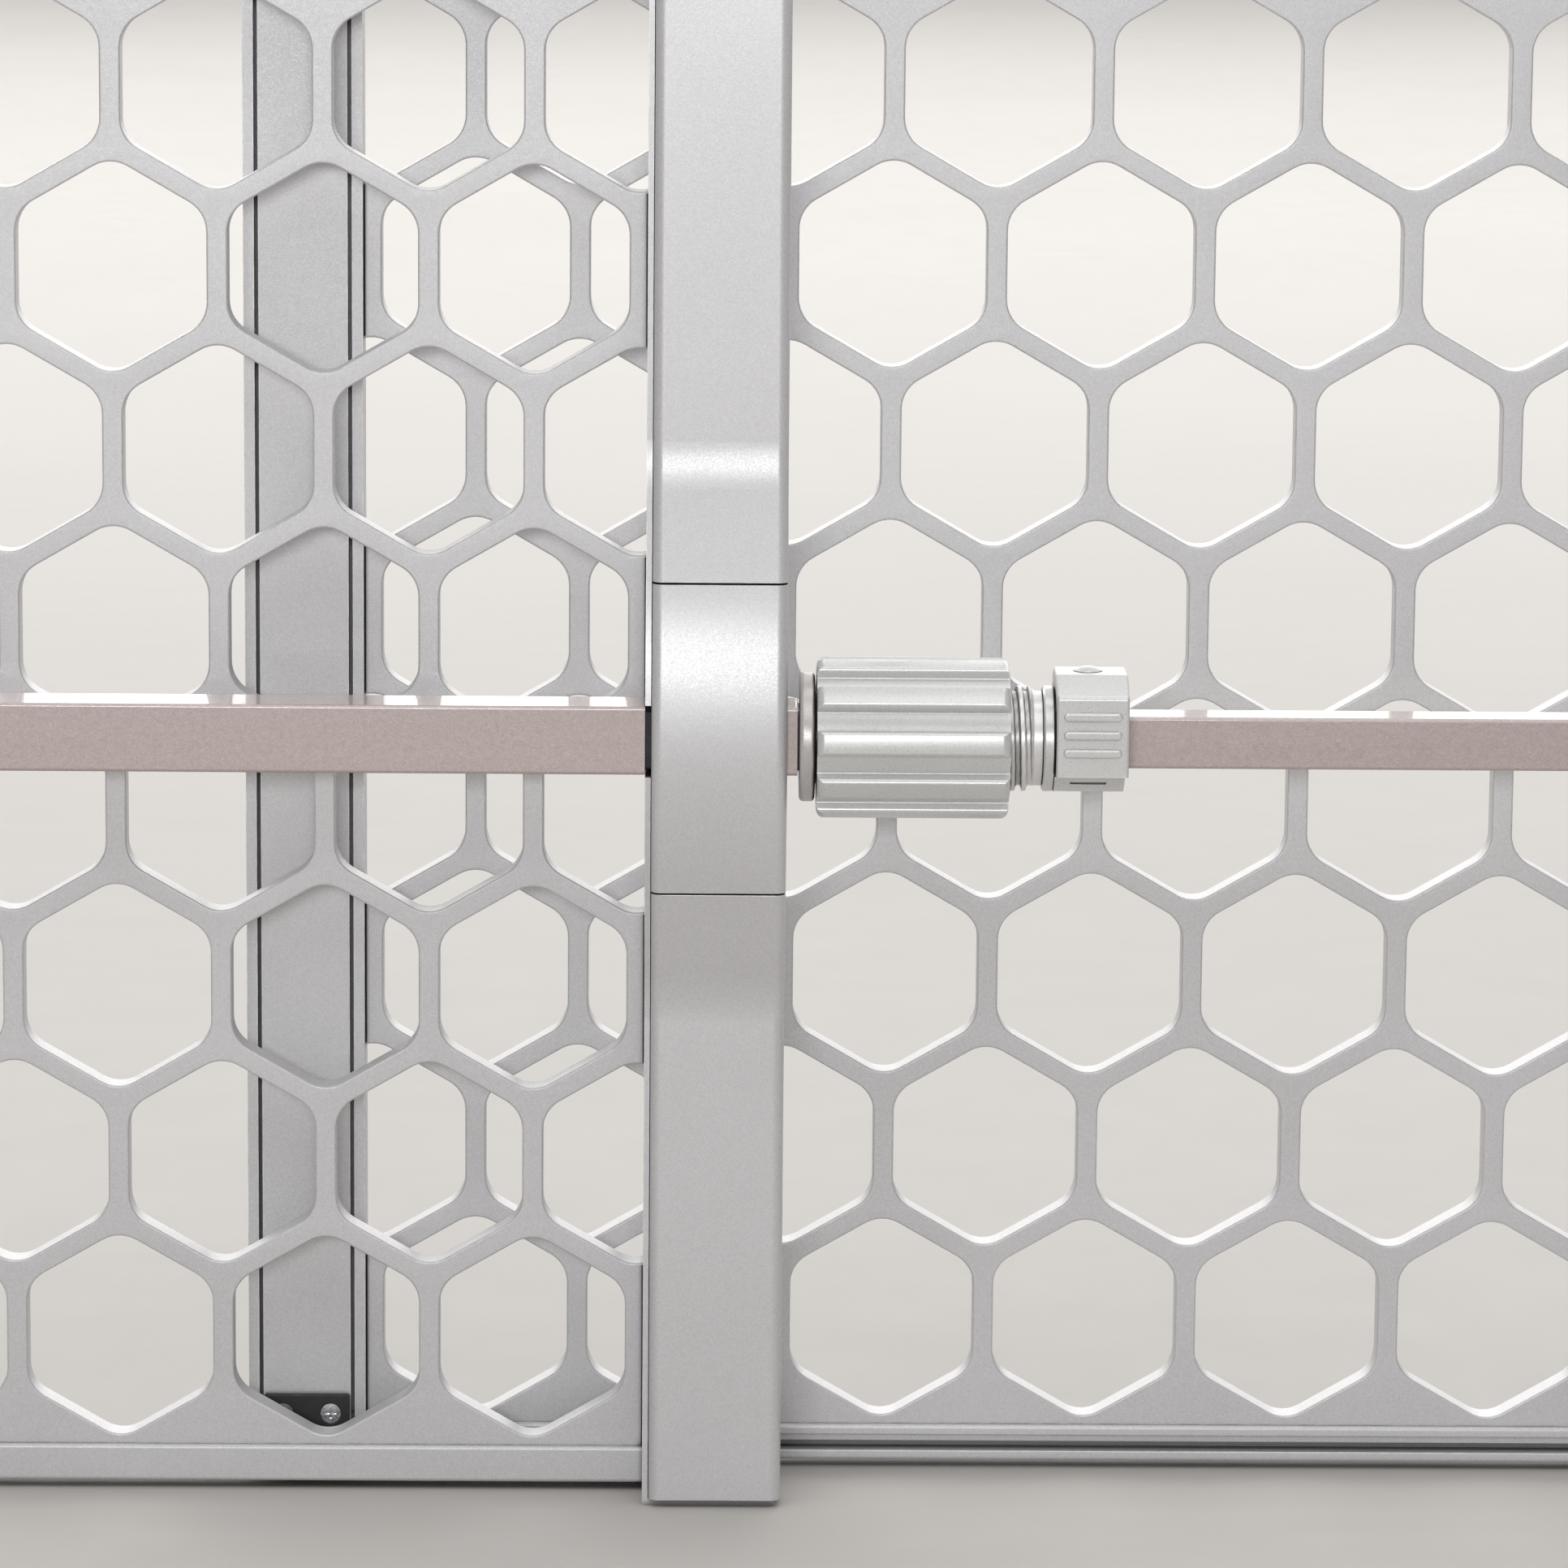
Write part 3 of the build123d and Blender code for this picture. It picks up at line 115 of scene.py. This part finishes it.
# ---------------------------------------------------------------- node helpers
class Nodes:
    """A material's node tree, with short calls for what every material here needs."""

    def __init__(self, name):
        self.material = bpy.data.materials.new(name)
        self.material.use_nodes = True
        self.tree = self.material.node_tree
        self.shader = self.tree.nodes["Principled BSDF"]
        self.place = self.add("ShaderNodeTexCoord").outputs["Object"]

    def add(self, kind, **settings):
        made = self.tree.nodes.new(kind)
        for name, value in settings.items():
            setattr(made, name, value)
        return made

    def join(self, output, target):
        self.tree.links.new(output, target)

    def noise(self, scale, detail=2.0, roughness=0.5, stretch=(1, 1, 1)):
        mapping = self.add("ShaderNodeMapping")
        mapping.inputs["Scale"].default_value = stretch
        self.join(self.place, mapping.inputs["Vector"])
        texture = self.add("ShaderNodeTexNoise")
        texture.inputs["Scale"].default_value = scale
        texture.inputs["Detail"].default_value = detail
        texture.inputs["Roughness"].default_value = roughness
        self.join(mapping.outputs["Vector"], texture.inputs["Vector"])
        return texture.outputs["Fac"]

    def cells(self, scale):
        texture = self.add("ShaderNodeTexVoronoi")
        texture.inputs["Scale"].default_value = scale
        self.join(self.place, texture.inputs["Vector"])
        split = self.add("ShaderNodeSeparateColor")
        self.join(texture.outputs["Color"], split.inputs["Color"])
        return split.outputs["Red"]

    def spread(self, value, from_low, from_high, to_low, to_high):
        """Moves a value from one range to another, and clamps it there."""
        mapped = self.add("ShaderNodeMapRange")
        for socket, number in zip(mapped.inputs[1:5], (from_low, from_high, to_low, to_high)):
            socket.default_value = number
        self.join(value, mapped.inputs["Value"])
        return mapped.outputs["Result"]

    def sum(self, a, b):
        added = self.add("ShaderNodeMath", operation="ADD")
        self.join(a, added.inputs[0])
        self.join(b, added.inputs[1])
        return added.outputs[0]

    def blend(self, share, a, b):
        """Colour from a to b; each is a colour or an output."""
        mixed = self.add("ShaderNodeMix", data_type="RGBA")
        self.join(share, mixed.inputs["Factor"])
        for socket, colour in zip((mixed.inputs[6], mixed.inputs[7]), (a, b)):
            if isinstance(colour, tuple):
                socket.default_value = (*colour, 1)
            else:
                self.join(colour, socket)
        return mixed.outputs[2]

    def edges(self, radius):
        """1 along outside edges, 0 on faces."""
        rounded = self.add("ShaderNodeBevel", samples=4)
        rounded.inputs["Radius"].default_value = radius
        straight = self.add("ShaderNodeNewGeometry")
        product = self.add("ShaderNodeVectorMath", operation="DOT_PRODUCT")
        self.join(rounded.outputs["Normal"], product.inputs[0])
        self.join(straight.outputs["Normal"], product.inputs[1])
        return self.spread(product.outputs["Value"], 0.995, 0.88, 0.0, 1.0)

    def creases(self, reach):
        """Painted shade mask from ambient occlusion: 1 on open faces, 0 deep in creases."""
        shade = self.add("ShaderNodeAmbientOcclusion", samples=12)
        shade.inputs["Distance"].default_value = reach
        return self.spread(shade.outputs["AO"], 0.34, 0.76, 0.0, 1.0)

    def bump(self, height, strength, distance):
        bumped = self.add("ShaderNodeBump")
        bumped.inputs["Strength"].default_value = strength
        bumped.inputs["Distance"].default_value = distance
        self.join(height, bumped.inputs["Height"])
        self.join(bumped.outputs["Normal"], self.shader.inputs["Normal"])


# how fine each texture is, in features a metre
MOTTLE = 9.0
WEAR = 160.0
GLOSS_PATCHES = 1500.0
GRAIN = 1900.0
FLECKS = 2600.0
BAR_DRAW = 60.0
BAR_PATCHES = 500.0
BAR_GRAIN = 900.0
BAR_FLECKS = 2900.0

# how far worn edges, the bar's painted edge highlight and the painted crease shade reach, and how dark the
# painted shade in a crease gets
WORN_EDGE = 0.7 * MM
RUBBED_AND_HIGHLIT_EDGE = 0.6 * MM
CREASE_REACH = 4.0 * MM
CREASE_SHADE = 0.12


def moulded_plastic(name, colour, dark, light, grain, rough_low, rough_high, pearl=0.35, flake=0.30):
    """Satin moulded plastic with fine pearl: grain, flecks, paler worn edges, and painted shade that
    darkens the creases.
    """
    made = Nodes(name)
    mottle = made.spread(made.noise(MOTTLE, 3.0), 0.35, 0.65, 0.0, 1.0)
    body = made.blend(mottle, dark, colour)
    flecks = made.spread(made.cells(FLECKS), 0.0, 1.0, 0.0, flake)
    body = made.blend(flecks, body, light)
    worn = made.spread(made.noise(WEAR, 3.0), 0.42, 0.6, 0.0, 1.0)
    edge = made.add("ShaderNodeMath", operation="MULTIPLY")
    made.join(made.edges(WORN_EDGE), edge.inputs[0])
    made.join(worn, edge.inputs[1])
    body = made.blend(edge.outputs[0], body, light)
    # painted shade: by ambient occlusion the colour darkens to near black in creases and at rib roots
    painted_crease_shade = tuple(CREASE_SHADE * channel for channel in dark)
    shaded = made.blend(made.creases(CREASE_REACH), painted_crease_shade, body)
    made.join(shaded, made.shader.inputs["Base Color"])
    patches = made.spread(made.noise(GLOSS_PATCHES, 2.0), 0.3, 0.7, rough_low, rough_high)
    made.join(patches, made.shader.inputs["Roughness"])
    fine = made.noise(GRAIN, 2.0, 0.6)
    made.bump(made.sum(fine, made.cells(FLECKS)), grain, 0.04 * MM)
    made.shader.inputs["Metallic"].default_value = pearl
    made.shader.inputs["Specular IOR Level"].default_value = 0.6
    return made.material


def flake_paint(name, colour, dark, light, metallic, rough_low, rough_high):
    """Flake paint under a clear coat: bright specks, a faint draw along the bar, and a painted highlight
    that lightens its edges.
    """
    made = Nodes(name)
    draw = made.spread(made.noise(BAR_DRAW, 3.0, 0.6, (0.04, 1, 1)), 0.3, 0.7, 0.0, 1.0)
    body = made.blend(draw, dark, colour)
    specks = made.spread(made.cells(BAR_FLECKS), 0.3, 1.0, 0.0, 0.28)
    body = made.blend(specks, body, light)
    # painted highlight: the bar's edges are lightened towards the pale colour
    body = made.blend(made.edges(RUBBED_AND_HIGHLIT_EDGE), body, light)
    made.join(body, made.shader.inputs["Base Color"])
    patches = made.spread(made.noise(BAR_PATCHES), 0.3, 0.7, rough_low, rough_high)
    made.join(patches, made.shader.inputs["Roughness"])
    made.bump(made.sum(made.cells(BAR_FLECKS), made.noise(BAR_GRAIN, 2.0)), 0.22, 0.03 * MM)
    made.shader.inputs["Metallic"].default_value = metallic
    made.shader.inputs["Coat Weight"].default_value = 0.6
    made.shader.inputs["Coat Roughness"].default_value = 0.08
    return made.material


def dark_plastic(name, colour, light, roughness):
    """Matt dark plastic or rubber with a moulded grain and paler rubbed edges."""
    made = Nodes(name)
    body = made.blend(made.spread(made.noise(40.0, 4.0), 0.3, 0.7, 0.0, 1.0), colour, light)
    body = made.blend(made.edges(RUBBED_AND_HIGHLIT_EDGE), body, tuple(1.8 * channel for channel in light))
    made.join(body, made.shader.inputs["Base Color"])
    low, high = roughness
    made.join(made.spread(made.noise(300.0), 0.3, 0.7, low, high), made.shader.inputs["Roughness"])
    made.bump(made.noise(1400.0, 3.0, 0.6), 0.35, 0.06 * MM)
    return made.material


def plated_steel(name, colour, dark):
    """Zinc-plated steel: clouded, finely scratched."""
    made = Nodes(name)
    body = made.blend(made.spread(made.noise(220.0, 4.0, 0.6), 0.3, 0.7, 0.0, 1.0), dark, colour)
    made.join(body, made.shader.inputs["Base Color"])
    made.join(made.spread(made.noise(900.0, 2.0), 0.3, 0.7, 0.22, 0.42), made.shader.inputs["Roughness"])
    made.bump(made.noise(2200.0, 2.0, 0.7, (0.1, 1, 1)), 0.15, 0.02 * MM)
    made.shader.inputs["Metallic"].default_value = 1.0
    return made.material


PLASTIC = moulded_plastic(
    "moulded_grey", (0.60, 0.592, 0.60), (0.565, 0.557, 0.562), (0.88, 0.88, 0.89), 0.30, 0.34, 0.42
)
PANEL_PLASTIC = moulded_plastic(
    "moulded_grey_panels", (0.58, 0.572, 0.582), (0.54, 0.532, 0.538), (0.88, 0.88, 0.89), 0.34, 0.40, 0.50
)
KNOB_PLASTIC = moulded_plastic(
    "moulded_grey_knob", (0.63, 0.63, 0.622), (0.585, 0.582, 0.572), (0.88, 0.89, 0.88), 0.20, 0.27, 0.35
)
WARM_PLASTIC = moulded_plastic(
    "moulded_grey_warm", (0.52, 0.49, 0.475), (0.48, 0.45, 0.435), (0.74, 0.71, 0.69), 0.26, 0.28, 0.38
)
SLEEVE_PLASTIC = moulded_plastic(
    "moulded_grey_sleeve", (0.75, 0.735, 0.725), (0.70, 0.685, 0.675), (0.90, 0.88, 0.87), 0.26, 0.28, 0.38
)
BAR_PAINT = flake_paint(
    "champagne_metal", (0.48, 0.40, 0.385), (0.45, 0.375, 0.36), (0.78, 0.72, 0.70), 0.45, 0.30, 0.42
)
BLACK = dark_plastic("black_plastic", (0.012, 0.012, 0.013), (0.022, 0.022, 0.023), (0.5, 0.65))
RUBBER = dark_plastic("pad_rubber", (0.10, 0.10, 0.105), (0.135, 0.135, 0.14), (0.7, 0.85))
STEEL = plated_steel("steel", (0.62, 0.62, 0.63), (0.48, 0.48, 0.50))

SLOT_MATERIAL = {
    "moulded_grey": PLASTIC,
    "moulded_grey_warm": WARM_PLASTIC,
    "champagne_metal": BAR_PAINT,
    "black_plastic": BLACK,
    "steel": STEEL,
    "pad_rubber": RUBBER,
}
NODE_MATERIAL = {
    "knob": KNOB_PLASTIC,
    "lock_lever": KNOB_PLASTIC,
    "release_button": KNOB_PLASTIC,
    "lock_housing": KNOB_PLASTIC,
    "rear_inner_post": PANEL_PLASTIC,
    "rear_post_insert": PANEL_PLASTIC,
}


# ---------------------------------------------------------------- mesh helpers
def give(obj, material):
    obj.data.materials.clear()
    obj.data.materials.append(material)


def add_mesh(name, vertices, faces, material):
    """A new piece from vertices and faces, smooth except at sharp edges, with flat faces kept flat."""
    mesh = bpy.data.meshes.new(name)
    mesh.from_pydata([tuple(v) for v in vertices], [], faces)
    obj = bpy.data.objects.new(name, mesh)
    bpy.context.scene.collection.objects.link(obj)
    finish_mesh(obj, material)
    return obj


def finish_mesh(obj, material):
    """Welds, turns normals outwards, smooths and gives the material."""
    work = bmesh.new()
    work.from_mesh(obj.data)
    bmesh.ops.remove_doubles(work, verts=work.verts, dist=0.001 * MM)
    bmesh.ops.recalc_face_normals(work, faces=work.faces)
    work.to_mesh(obj.data)
    work.free()
    obj.data.polygons.foreach_set("use_smooth", [True] * len(obj.data.polygons))
    obj.data.set_sharp_from_angle(angle=SHARP_ANGLE)
    keep_flat = obj.modifiers.new("flat_faces", "WEIGHTED_NORMAL")
    keep_flat.keep_sharp = True
    give(obj, material)


def joined(name, pieces, material):
    """One piece made of several closed shells."""
    work = bmesh.new()
    for piece in pieces:
        work.from_mesh(piece.data)
        bpy.data.objects.remove(piece)
    mesh = bpy.data.meshes.new(name)
    work.to_mesh(mesh)
    work.free()
    obj = bpy.data.objects.new(name, mesh)
    bpy.context.scene.collection.objects.link(obj)
    finish_mesh(obj, material)
    return obj


def arc(centre, radius, start, turn, steps):
    """Points of an arc, both ends included; angles in degrees."""
    points = []
    for step in range(steps + 1):
        angle = math.radians(start + turn * step / steps)
        points.append((centre[0] + radius * math.cos(angle), centre[1] + radius * math.sin(angle)))
    return points


def prism(name, outline, x_low, x_high, material):
    """Closed bar along X; the outline's points are (y, z)."""
    count = len(outline)
    vertices = [(x, y, z) for x in (x_low, x_high) for y, z in outline]
    sides = [(i, (i + 1) % count, count + (i + 1) % count, count + i) for i in range(count)]
    caps = [tuple(range(count)), tuple(range(2 * count - 1, count - 1, -1))]
    return add_mesh(name, vertices, sides + caps, material)


# ---------------------------------------------------------------- honeycomb panels
# from a hole's centre to the centre of each of its rounded corners
CORNER_REACH = (HOLE_FLAT / 2 - HOLE_CORNER_R) / math.cos(math.radians(30))


def hexagon(centre_x, centre_z):
    """Rounded hexagon standing on a corner, anticlockwise from its right-hand side."""
    points = []
    for corner in range(6):
        direction = 30 + 60 * corner
        middle = (
            centre_x + CORNER_REACH * math.cos(math.radians(direction)),
            centre_z + CORNER_REACH * math.sin(math.radians(direction)),
        )
        points += arc(middle, HOLE_CORNER_R, direction - 30, 60, CORNER_STEPS)
    return points


def notch(centre_x, centre_z, edge_x, side):
    """The part of a hexagon that lies inside a plate edge; side is +1 for the right-hand edge."""
    inside = [p for p in hexagon(centre_x, centre_z) if (edge_x - p[0]) * side > 0]
    half = CORNER_REACH + math.sqrt(HOLE_CORNER_R**2 - (edge_x - centre_x) ** 2)
    # the hexagon's list starts at the right, so on a left-hand edge its two ends join inside
    inside.sort(key=lambda p: math.atan2(p[1] - centre_z, (centre_x - p[0]) * side))
    return [(edge_x, centre_z - half), *inside, (edge_x, centre_z + half)]


def row_heights(split):
    """Heights of the rows of whole holes, or of the rows that the plate's edges split."""
    rows = [row for row in range(ROWS) if ((row - ROWS // 2) % 2 == 1) == split]
    return [BAR_Z + (row - ROWS / 2 + 0.5) * ROW_STEP for row in rows]


def honeycomb_plate(name, first_strut_x, front_y, low_z, high_z):
    """Moulded plate with rounded hexagonal holes; every rim is rounded front and back."""
    last_strut_x = first_strut_x + COLUMNS * PITCH
    left = first_strut_x - PLATE_PAST_STRUT
    right = last_strut_x + PLATE_PAST_STRUT
    outline = [(left, low_z), (right, low_z)]
    for z in row_heights(True):
        outline += notch(last_strut_x, z, right, 1)
    outline += [(right, high_z), (left, high_z)]
    for z in reversed(row_heights(True)):
        outline += reversed(notch(first_strut_x, z, left, -1))
    loops = [outline]
    for z in row_heights(False):
        loops += [hexagon(first_strut_x + (column + 0.5) * PITCH, z)[::-1] for column in range(COLUMNS)]
    for z in row_heights(True):
        loops += [hexagon(first_strut_x + column * PITCH, z)[::-1] for column in range(1, COLUMNS)]
    curve = bpy.data.curves.new(name + "_outline", "CURVE")
    curve.dimensions = "2D"
    curve.fill_mode = "BOTH"
    curve.bevel_depth = PLATE_ROUNDING
    curve.bevel_resolution = 3
    curve.offset = -PLATE_ROUNDING
    curve.extrude = PLATE_DEPTH / 2 - PLATE_ROUNDING
    for points in loops:
        spline = curve.splines.new("POLY")
        spline.points.add(len(points) - 1)
        for point, (x, z) in zip(spline.points, points):
            point.co = (x, z, 0, 1)
        spline.use_cyclic_u = True
    drawn = bpy.data.objects.new(name + "_outline", curve)
    bpy.context.scene.collection.objects.link(drawn)
    bpy.context.view_layer.update()
    evaluated = drawn.evaluated_get(bpy.context.evaluated_depsgraph_get())
    mesh = bpy.data.meshes.new_from_object(evaluated)
    bpy.data.objects.remove(drawn)
    # the outline is drawn flat: stand it up, its middle half a plate behind the front face
    stand = Matrix.Translation((0, front_y + PLATE_DEPTH / 2, 0)) @ Matrix.Rotation(math.pi / 2, 4, "X")
    mesh.transform(stand)
    plate = bpy.data.objects.new(name, mesh)
    bpy.context.scene.collection.objects.link(plate)
    return plate


def rail_outline(front_y, low_z, groove_at_back):
    """Section of a frame rail with its groove, as (y, z) points."""
    back_y = front_y + RAIL_DEPTH
    high_z = low_z + RAIL_HEIGHT
    r = RAIL_ROUNDING
    lip = RAIL_LIP_ROUNDING
    groove_low = low_z + (RAIL_HEIGHT - RAIL_GROOVE_HEIGHT) / 2
    groove_high = groove_low + RAIL_GROOVE_HEIGHT
    points = arc((front_y + r, low_z + r), r, 180, 90, 5) + arc((back_y - r, low_z + r), r, 270, 90, 5)
    groove_y = back_y - RAIL_GROOVE_DEPTH
    points += arc((back_y - lip, groove_low - lip), lip, 0, 90, 3)
    points += [(groove_y, groove_low), (groove_y, groove_high)]
    points += arc((back_y - lip, groove_high + lip), lip, 270, 90, 3)
    points += arc((back_y - r, high_z - r), r, 0, 90, 5) + arc((front_y + r, high_z - r), r, 90, 90, 5)
    if groove_at_back:
        return points
    return [(front_y + back_y - y, z) for y, z in reversed(points)]


def honeycomb_panel(node, body, groove_at_back):
    """A panel's plate and two frame rails, in place of its plain CAD solid."""
    low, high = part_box(node)
    first_strut_x = low.x + RAIL_PAST_STRUT
    plate = honeycomb_plate(
        node + "_plate",
        first_strut_x,
        low.y + PLATE_INSET,
        low.z + RAIL_HEIGHT / 2,
        high.z - RAIL_HEIGHT / 2,
    )
    rails = [
        prism(node + "_rail", rail_outline(low.y, z, groove_at_back), low.x, high.x, PANEL_PLASTIC)
        for z in (low.z, high.z - RAIL_HEIGHT)
    ]
    panel = joined(body + "_honeycomb", [plate, *rails], PANEL_PLASTIC)
    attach(panel, body)
    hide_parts(node)


honeycomb_panel("front_lattice", "front_panel", True)
honeycomb_panel("rear_lattice", "rear_panel", False)


# ---------------------------------------------------------------- threaded sleeve
def thread_radius(turn_share):
    """Radius across one pitch of the thread: flat root, sloped flanks, narrow rounded crest."""
    from_crest = abs(turn_share - 0.5) * 2
    rise = min(max((THREAD_FLANK_FOOT - from_crest) / THREAD_FLANK, 0.0), 1.0)
    return THREAD_ROOT_R + (THREAD_CREST_R - THREAD_ROOT_R) * rise * rise * (3 - 2 * rise)


def threaded_sleeve():
    """Sleeve with a true helical thread and a square bore, in place of the ridged CAD solid."""
    low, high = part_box("threaded_sleeve")
    neck_start = high.x - NECK_AND_SPIGOT
    shoulder = high.x - SPIGOT_LENGTH
    steps = round((neck_start - low.x) / THREAD_STEP)
    around = THREAD_AROUND
    rings = []
    for step in range(steps + 1):
        x = low.x + (neck_start - low.x) * step / steps
        # the thread runs in from nothing at the left and out again at the neck
        fade = min((x - low.x) / THREAD_PITCH, (neck_start - x) / (THREAD_RUN_OUT * THREAD_PITCH), 1.0)
        ring = []
        for column in range(around):
            share = column / around
            turn = ((neck_start - x) / THREAD_PITCH + share) % 1.0
            radius = THREAD_ROOT_R + (thread_radius(turn) - THREAD_ROOT_R) * fade
            ring.append((x, share, radius))
        rings.append(ring)
    for x, radius in (
        (shoulder - NECK_CORNER, THREAD_ROOT_R),
        (shoulder, THREAD_ROOT_R - NECK_CORNER),
        (shoulder, SPIGOT_R),
        (high.x, SPIGOT_R),
    ):
        rings.append([(x, column / around, radius) for column in range(around)])
    half = SLIDING_BORE / 2
    for x in (high.x, low.x):
        ring = []
        for column in range(around):
            angle = 2 * math.pi * (column + 0.5) / around
            ring.append((x, column / around, half / max(abs(math.cos(angle)), abs(math.sin(angle)))))
        rings.append(ring)
    vertices = []
    for ring in rings:
        for x, share, radius in ring:
            angle = 2 * math.pi * share + math.pi / around
            vertices.append((x, BAR_Y + radius * math.cos(angle), BAR_Z + radius * math.sin(angle)))
    faces = []
    for row in range(len(rings)):
        following = (row + 1) % len(rings)
        for column in range(around):
            beside = (column + 1) % around
            faces.append(
                (
                    row * around + column,
                    row * around + beside,
                    following * around + beside,
                    following * around + column,
                )
            )
    sleeve = add_mesh("sleeve_thread", vertices, faces, SLEEVE_PLASTIC)
    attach(sleeve, "sleeve")
    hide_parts("threaded_sleeve")


threaded_sleeve()


# ---------------------------------------------------------------- CAD nodes that stay
# width of the rounding that each node's edges get, in millimetres
EDGE_ROUNDING = {
    "knob": 0.3,
    "lock_lever": 0.35,
    "lock_housing": 0.4,
    "collar_flange": 0.3,
    "centre_post": 0.3,
    "left_end_post": 0.5,
    "right_end_post": 0.5,
    "rear_inner_post": 0.5,
}
DEFAULT_ROUNDING = 0.25


def soften(obj, width):
    """Rounds a CAD node's edges and keeps its flat faces flat."""
    weld = obj.modifiers.new("weld", "WELD")
    weld.merge_threshold = WELD_DISTANCE
    bevel = obj.modifiers.new("rounding", "BEVEL")
    bevel.width = width
    bevel.segments = 2
    bevel.limit_method = "ANGLE"
    bevel.angle_limit = SHARP_ANGLE
    bevel.use_clamp_overlap = True
    bevel.harden_normals = False
    flat = obj.modifiers.new("flat_faces", "WEIGHTED_NORMAL")
    flat.keep_sharp = True


slots = {part["node"]: part["material_slot"] for part in frame["record"]["subparts"]}
for name, obj in nodes.items():
    if obj.hide_render:
        continue
    give(obj, NODE_MATERIAL.get(name, SLOT_MATERIAL[slots[name]]))
    soften(obj, EDGE_ROUNDING.get(name, DEFAULT_ROUNDING) * MM)


# ---------------------------------------------------------------- floor, lights, camera
FLOOR_HALF = 14.0
FLOOR_STEPS = 14


def pale_floor():
    """Plain pale floor, well past what any view shows."""
    places = [-FLOOR_HALF + 2 * FLOOR_HALF * i / FLOOR_STEPS for i in range(FLOOR_STEPS + 1)]
    vertices = [(x, y, 0) for y in places for x in places]
    row = FLOOR_STEPS + 1
    faces = [
        (j * row + i, j * row + i + 1, (j + 1) * row + i + 1, (j + 1) * row + i)
        for j in range(FLOOR_STEPS)
        for i in range(FLOOR_STEPS)
    ]
    made = Nodes("floor")
    tone = made.blend(made.noise(1.5, 4.0), (0.64, 0.62, 0.595), (0.69, 0.67, 0.65))
    made.join(tone, made.shader.inputs["Base Color"])
    made.join(made.spread(made.noise(20.0, 3.0), 0.3, 0.7, 0.55, 0.7), made.shader.inputs["Roughness"])
    made.bump(made.noise(180.0, 4.0), 0.1, 0.3 * MM)
    floor = add_mesh("floor", vertices, faces, made.material)
    return floor


def leave_floor_dark(floor, lights):
    """These lights reach the gate only, so that the floor throws little light up at it."""
    reached = bpy.data.collections.new("lit_pieces")
    for obj in bpy.context.scene.collection.objects:
        if obj.type == "MESH" and obj != floor:
            reached.objects.link(obj)
    for light in lights:
        light.light_linking.receiver_collection = reached


def light_floor_only(floor, lights):
    """These lights even out the floor and miss the gate."""
    only_floor = bpy.data.collections.new("floor_only")
    only_floor.objects.link(floor)
    for light in lights:
        light.light_linking.receiver_collection = only_floor


def softbox(name, place, target, width, height, power, colour):
    light = bpy.data.lights.new(name, "AREA")
    light.shape = "RECTANGLE"
    light.size = width
    light.size_y = height
    light.energy = power
    light.color = colour
    obj = bpy.data.objects.new(name, light)
    bpy.context.scene.collection.objects.link(obj)
    obj.location = place
    obj.rotation_euler = (Vector(target) - Vector(place)).to_track_quat("-Z", "Y").to_euler()
    obj.visible_camera = False
    return obj


def pale_world(colour, strength, seen_strength):
    world = bpy.data.worlds.new("studio")
    bpy.context.scene.world = world
    world.use_nodes = True
    background = world.node_tree.nodes["Background"]
    background.inputs["Color"].default_value = (*colour, 1)
    # the sky is dim as a light, and pale where it is seen
    seen = world.node_tree.nodes.new("ShaderNodeLightPath")
    level = world.node_tree.nodes.new("ShaderNodeMapRange")
    level.inputs["To Min"].default_value = strength
    level.inputs["To Max"].default_value = seen_strength
    world.node_tree.links.new(seen.outputs["Is Camera Ray"], level.inputs["Value"])
    world.node_tree.links.new(level.outputs["Result"], background.inputs["Strength"])


def place_camera():
    forward = Vector(
        (
            math.sin(CAMERA_RIGHT) * math.cos(CAMERA_DOWN),
            math.cos(CAMERA_RIGHT) * math.cos(CAMERA_DOWN),
            -math.sin(CAMERA_DOWN),
        )
    )
    level = Vector((math.cos(CAMERA_RIGHT), -math.sin(CAMERA_RIGHT), 0))
    upright = level.cross(forward)
    right = math.cos(CAMERA_ROLL) * level + math.sin(CAMERA_ROLL) * upright
    up = math.cos(CAMERA_ROLL) * upright - math.sin(CAMERA_ROLL) * level
    data = bpy.data.cameras.new("camera")
    data.lens = LENS
    data.sensor_width = 36.0
    camera = bpy.data.objects.new("camera", data)
    bpy.context.scene.collection.objects.link(camera)
    turn = Matrix((right, up, -forward)).transposed()
    camera.matrix_world = Matrix.Translation(CAMERA_PLACE) @ turn.to_4x4()
    bpy.context.scene.camera = camera


floor = pale_floor()
gate_middle = (0.05, 0, 0.3)
cool_white = (0.98, 0.99, 1.0)
warm_white = (1.0, 0.99, 0.97)
# each light: name, place, what it faces, width, height, power, colour
key = softbox("key", (0.2, -1.9, 3.3), gate_middle, 3.4, 2.0, 38, cool_white)
front = softbox("front_window", (-0.25, -3.7, 1.05), gate_middle, 1.6, 0.5, 43, cool_white)
softbox("back_ceiling", (0.0, 6.5, 4.6), (0.0, 5.5, 0.0), 14.0, 8.0, 470, warm_white)
back_window = softbox("back_window", (0.0, 4.5, 1.7), (0.0, 0.0, 0.9), 7.0, 2.6, 100, warm_white)
top_window = softbox("top_window", (0.1, 0.25, 2.4), (0.1, 0.1, 0.3), 2.6, 0.8, 15, (1.0, 1.0, 1.0))
behind = softbox("floor_light_behind", (0.0, 7.0, 3.0), (0.0, 7.0, 0.0), 14.0, 14.0, 270, warm_white)
ahead = softbox("floor_light_ahead", (0.0, -1.6, 2.2), (0.0, -1.6, 0.0), 5.0, 2.4, 36, (1.0, 0.96, 0.93))
light_floor_only(floor, [behind, ahead])
leave_floor_dark(floor, [key, front, back_window, top_window])
pale_world((0.93, 0.93, 0.925), 0.28, 0.86)
place_camera()
bpy.context.scene.view_settings.view_transform = "Standard"
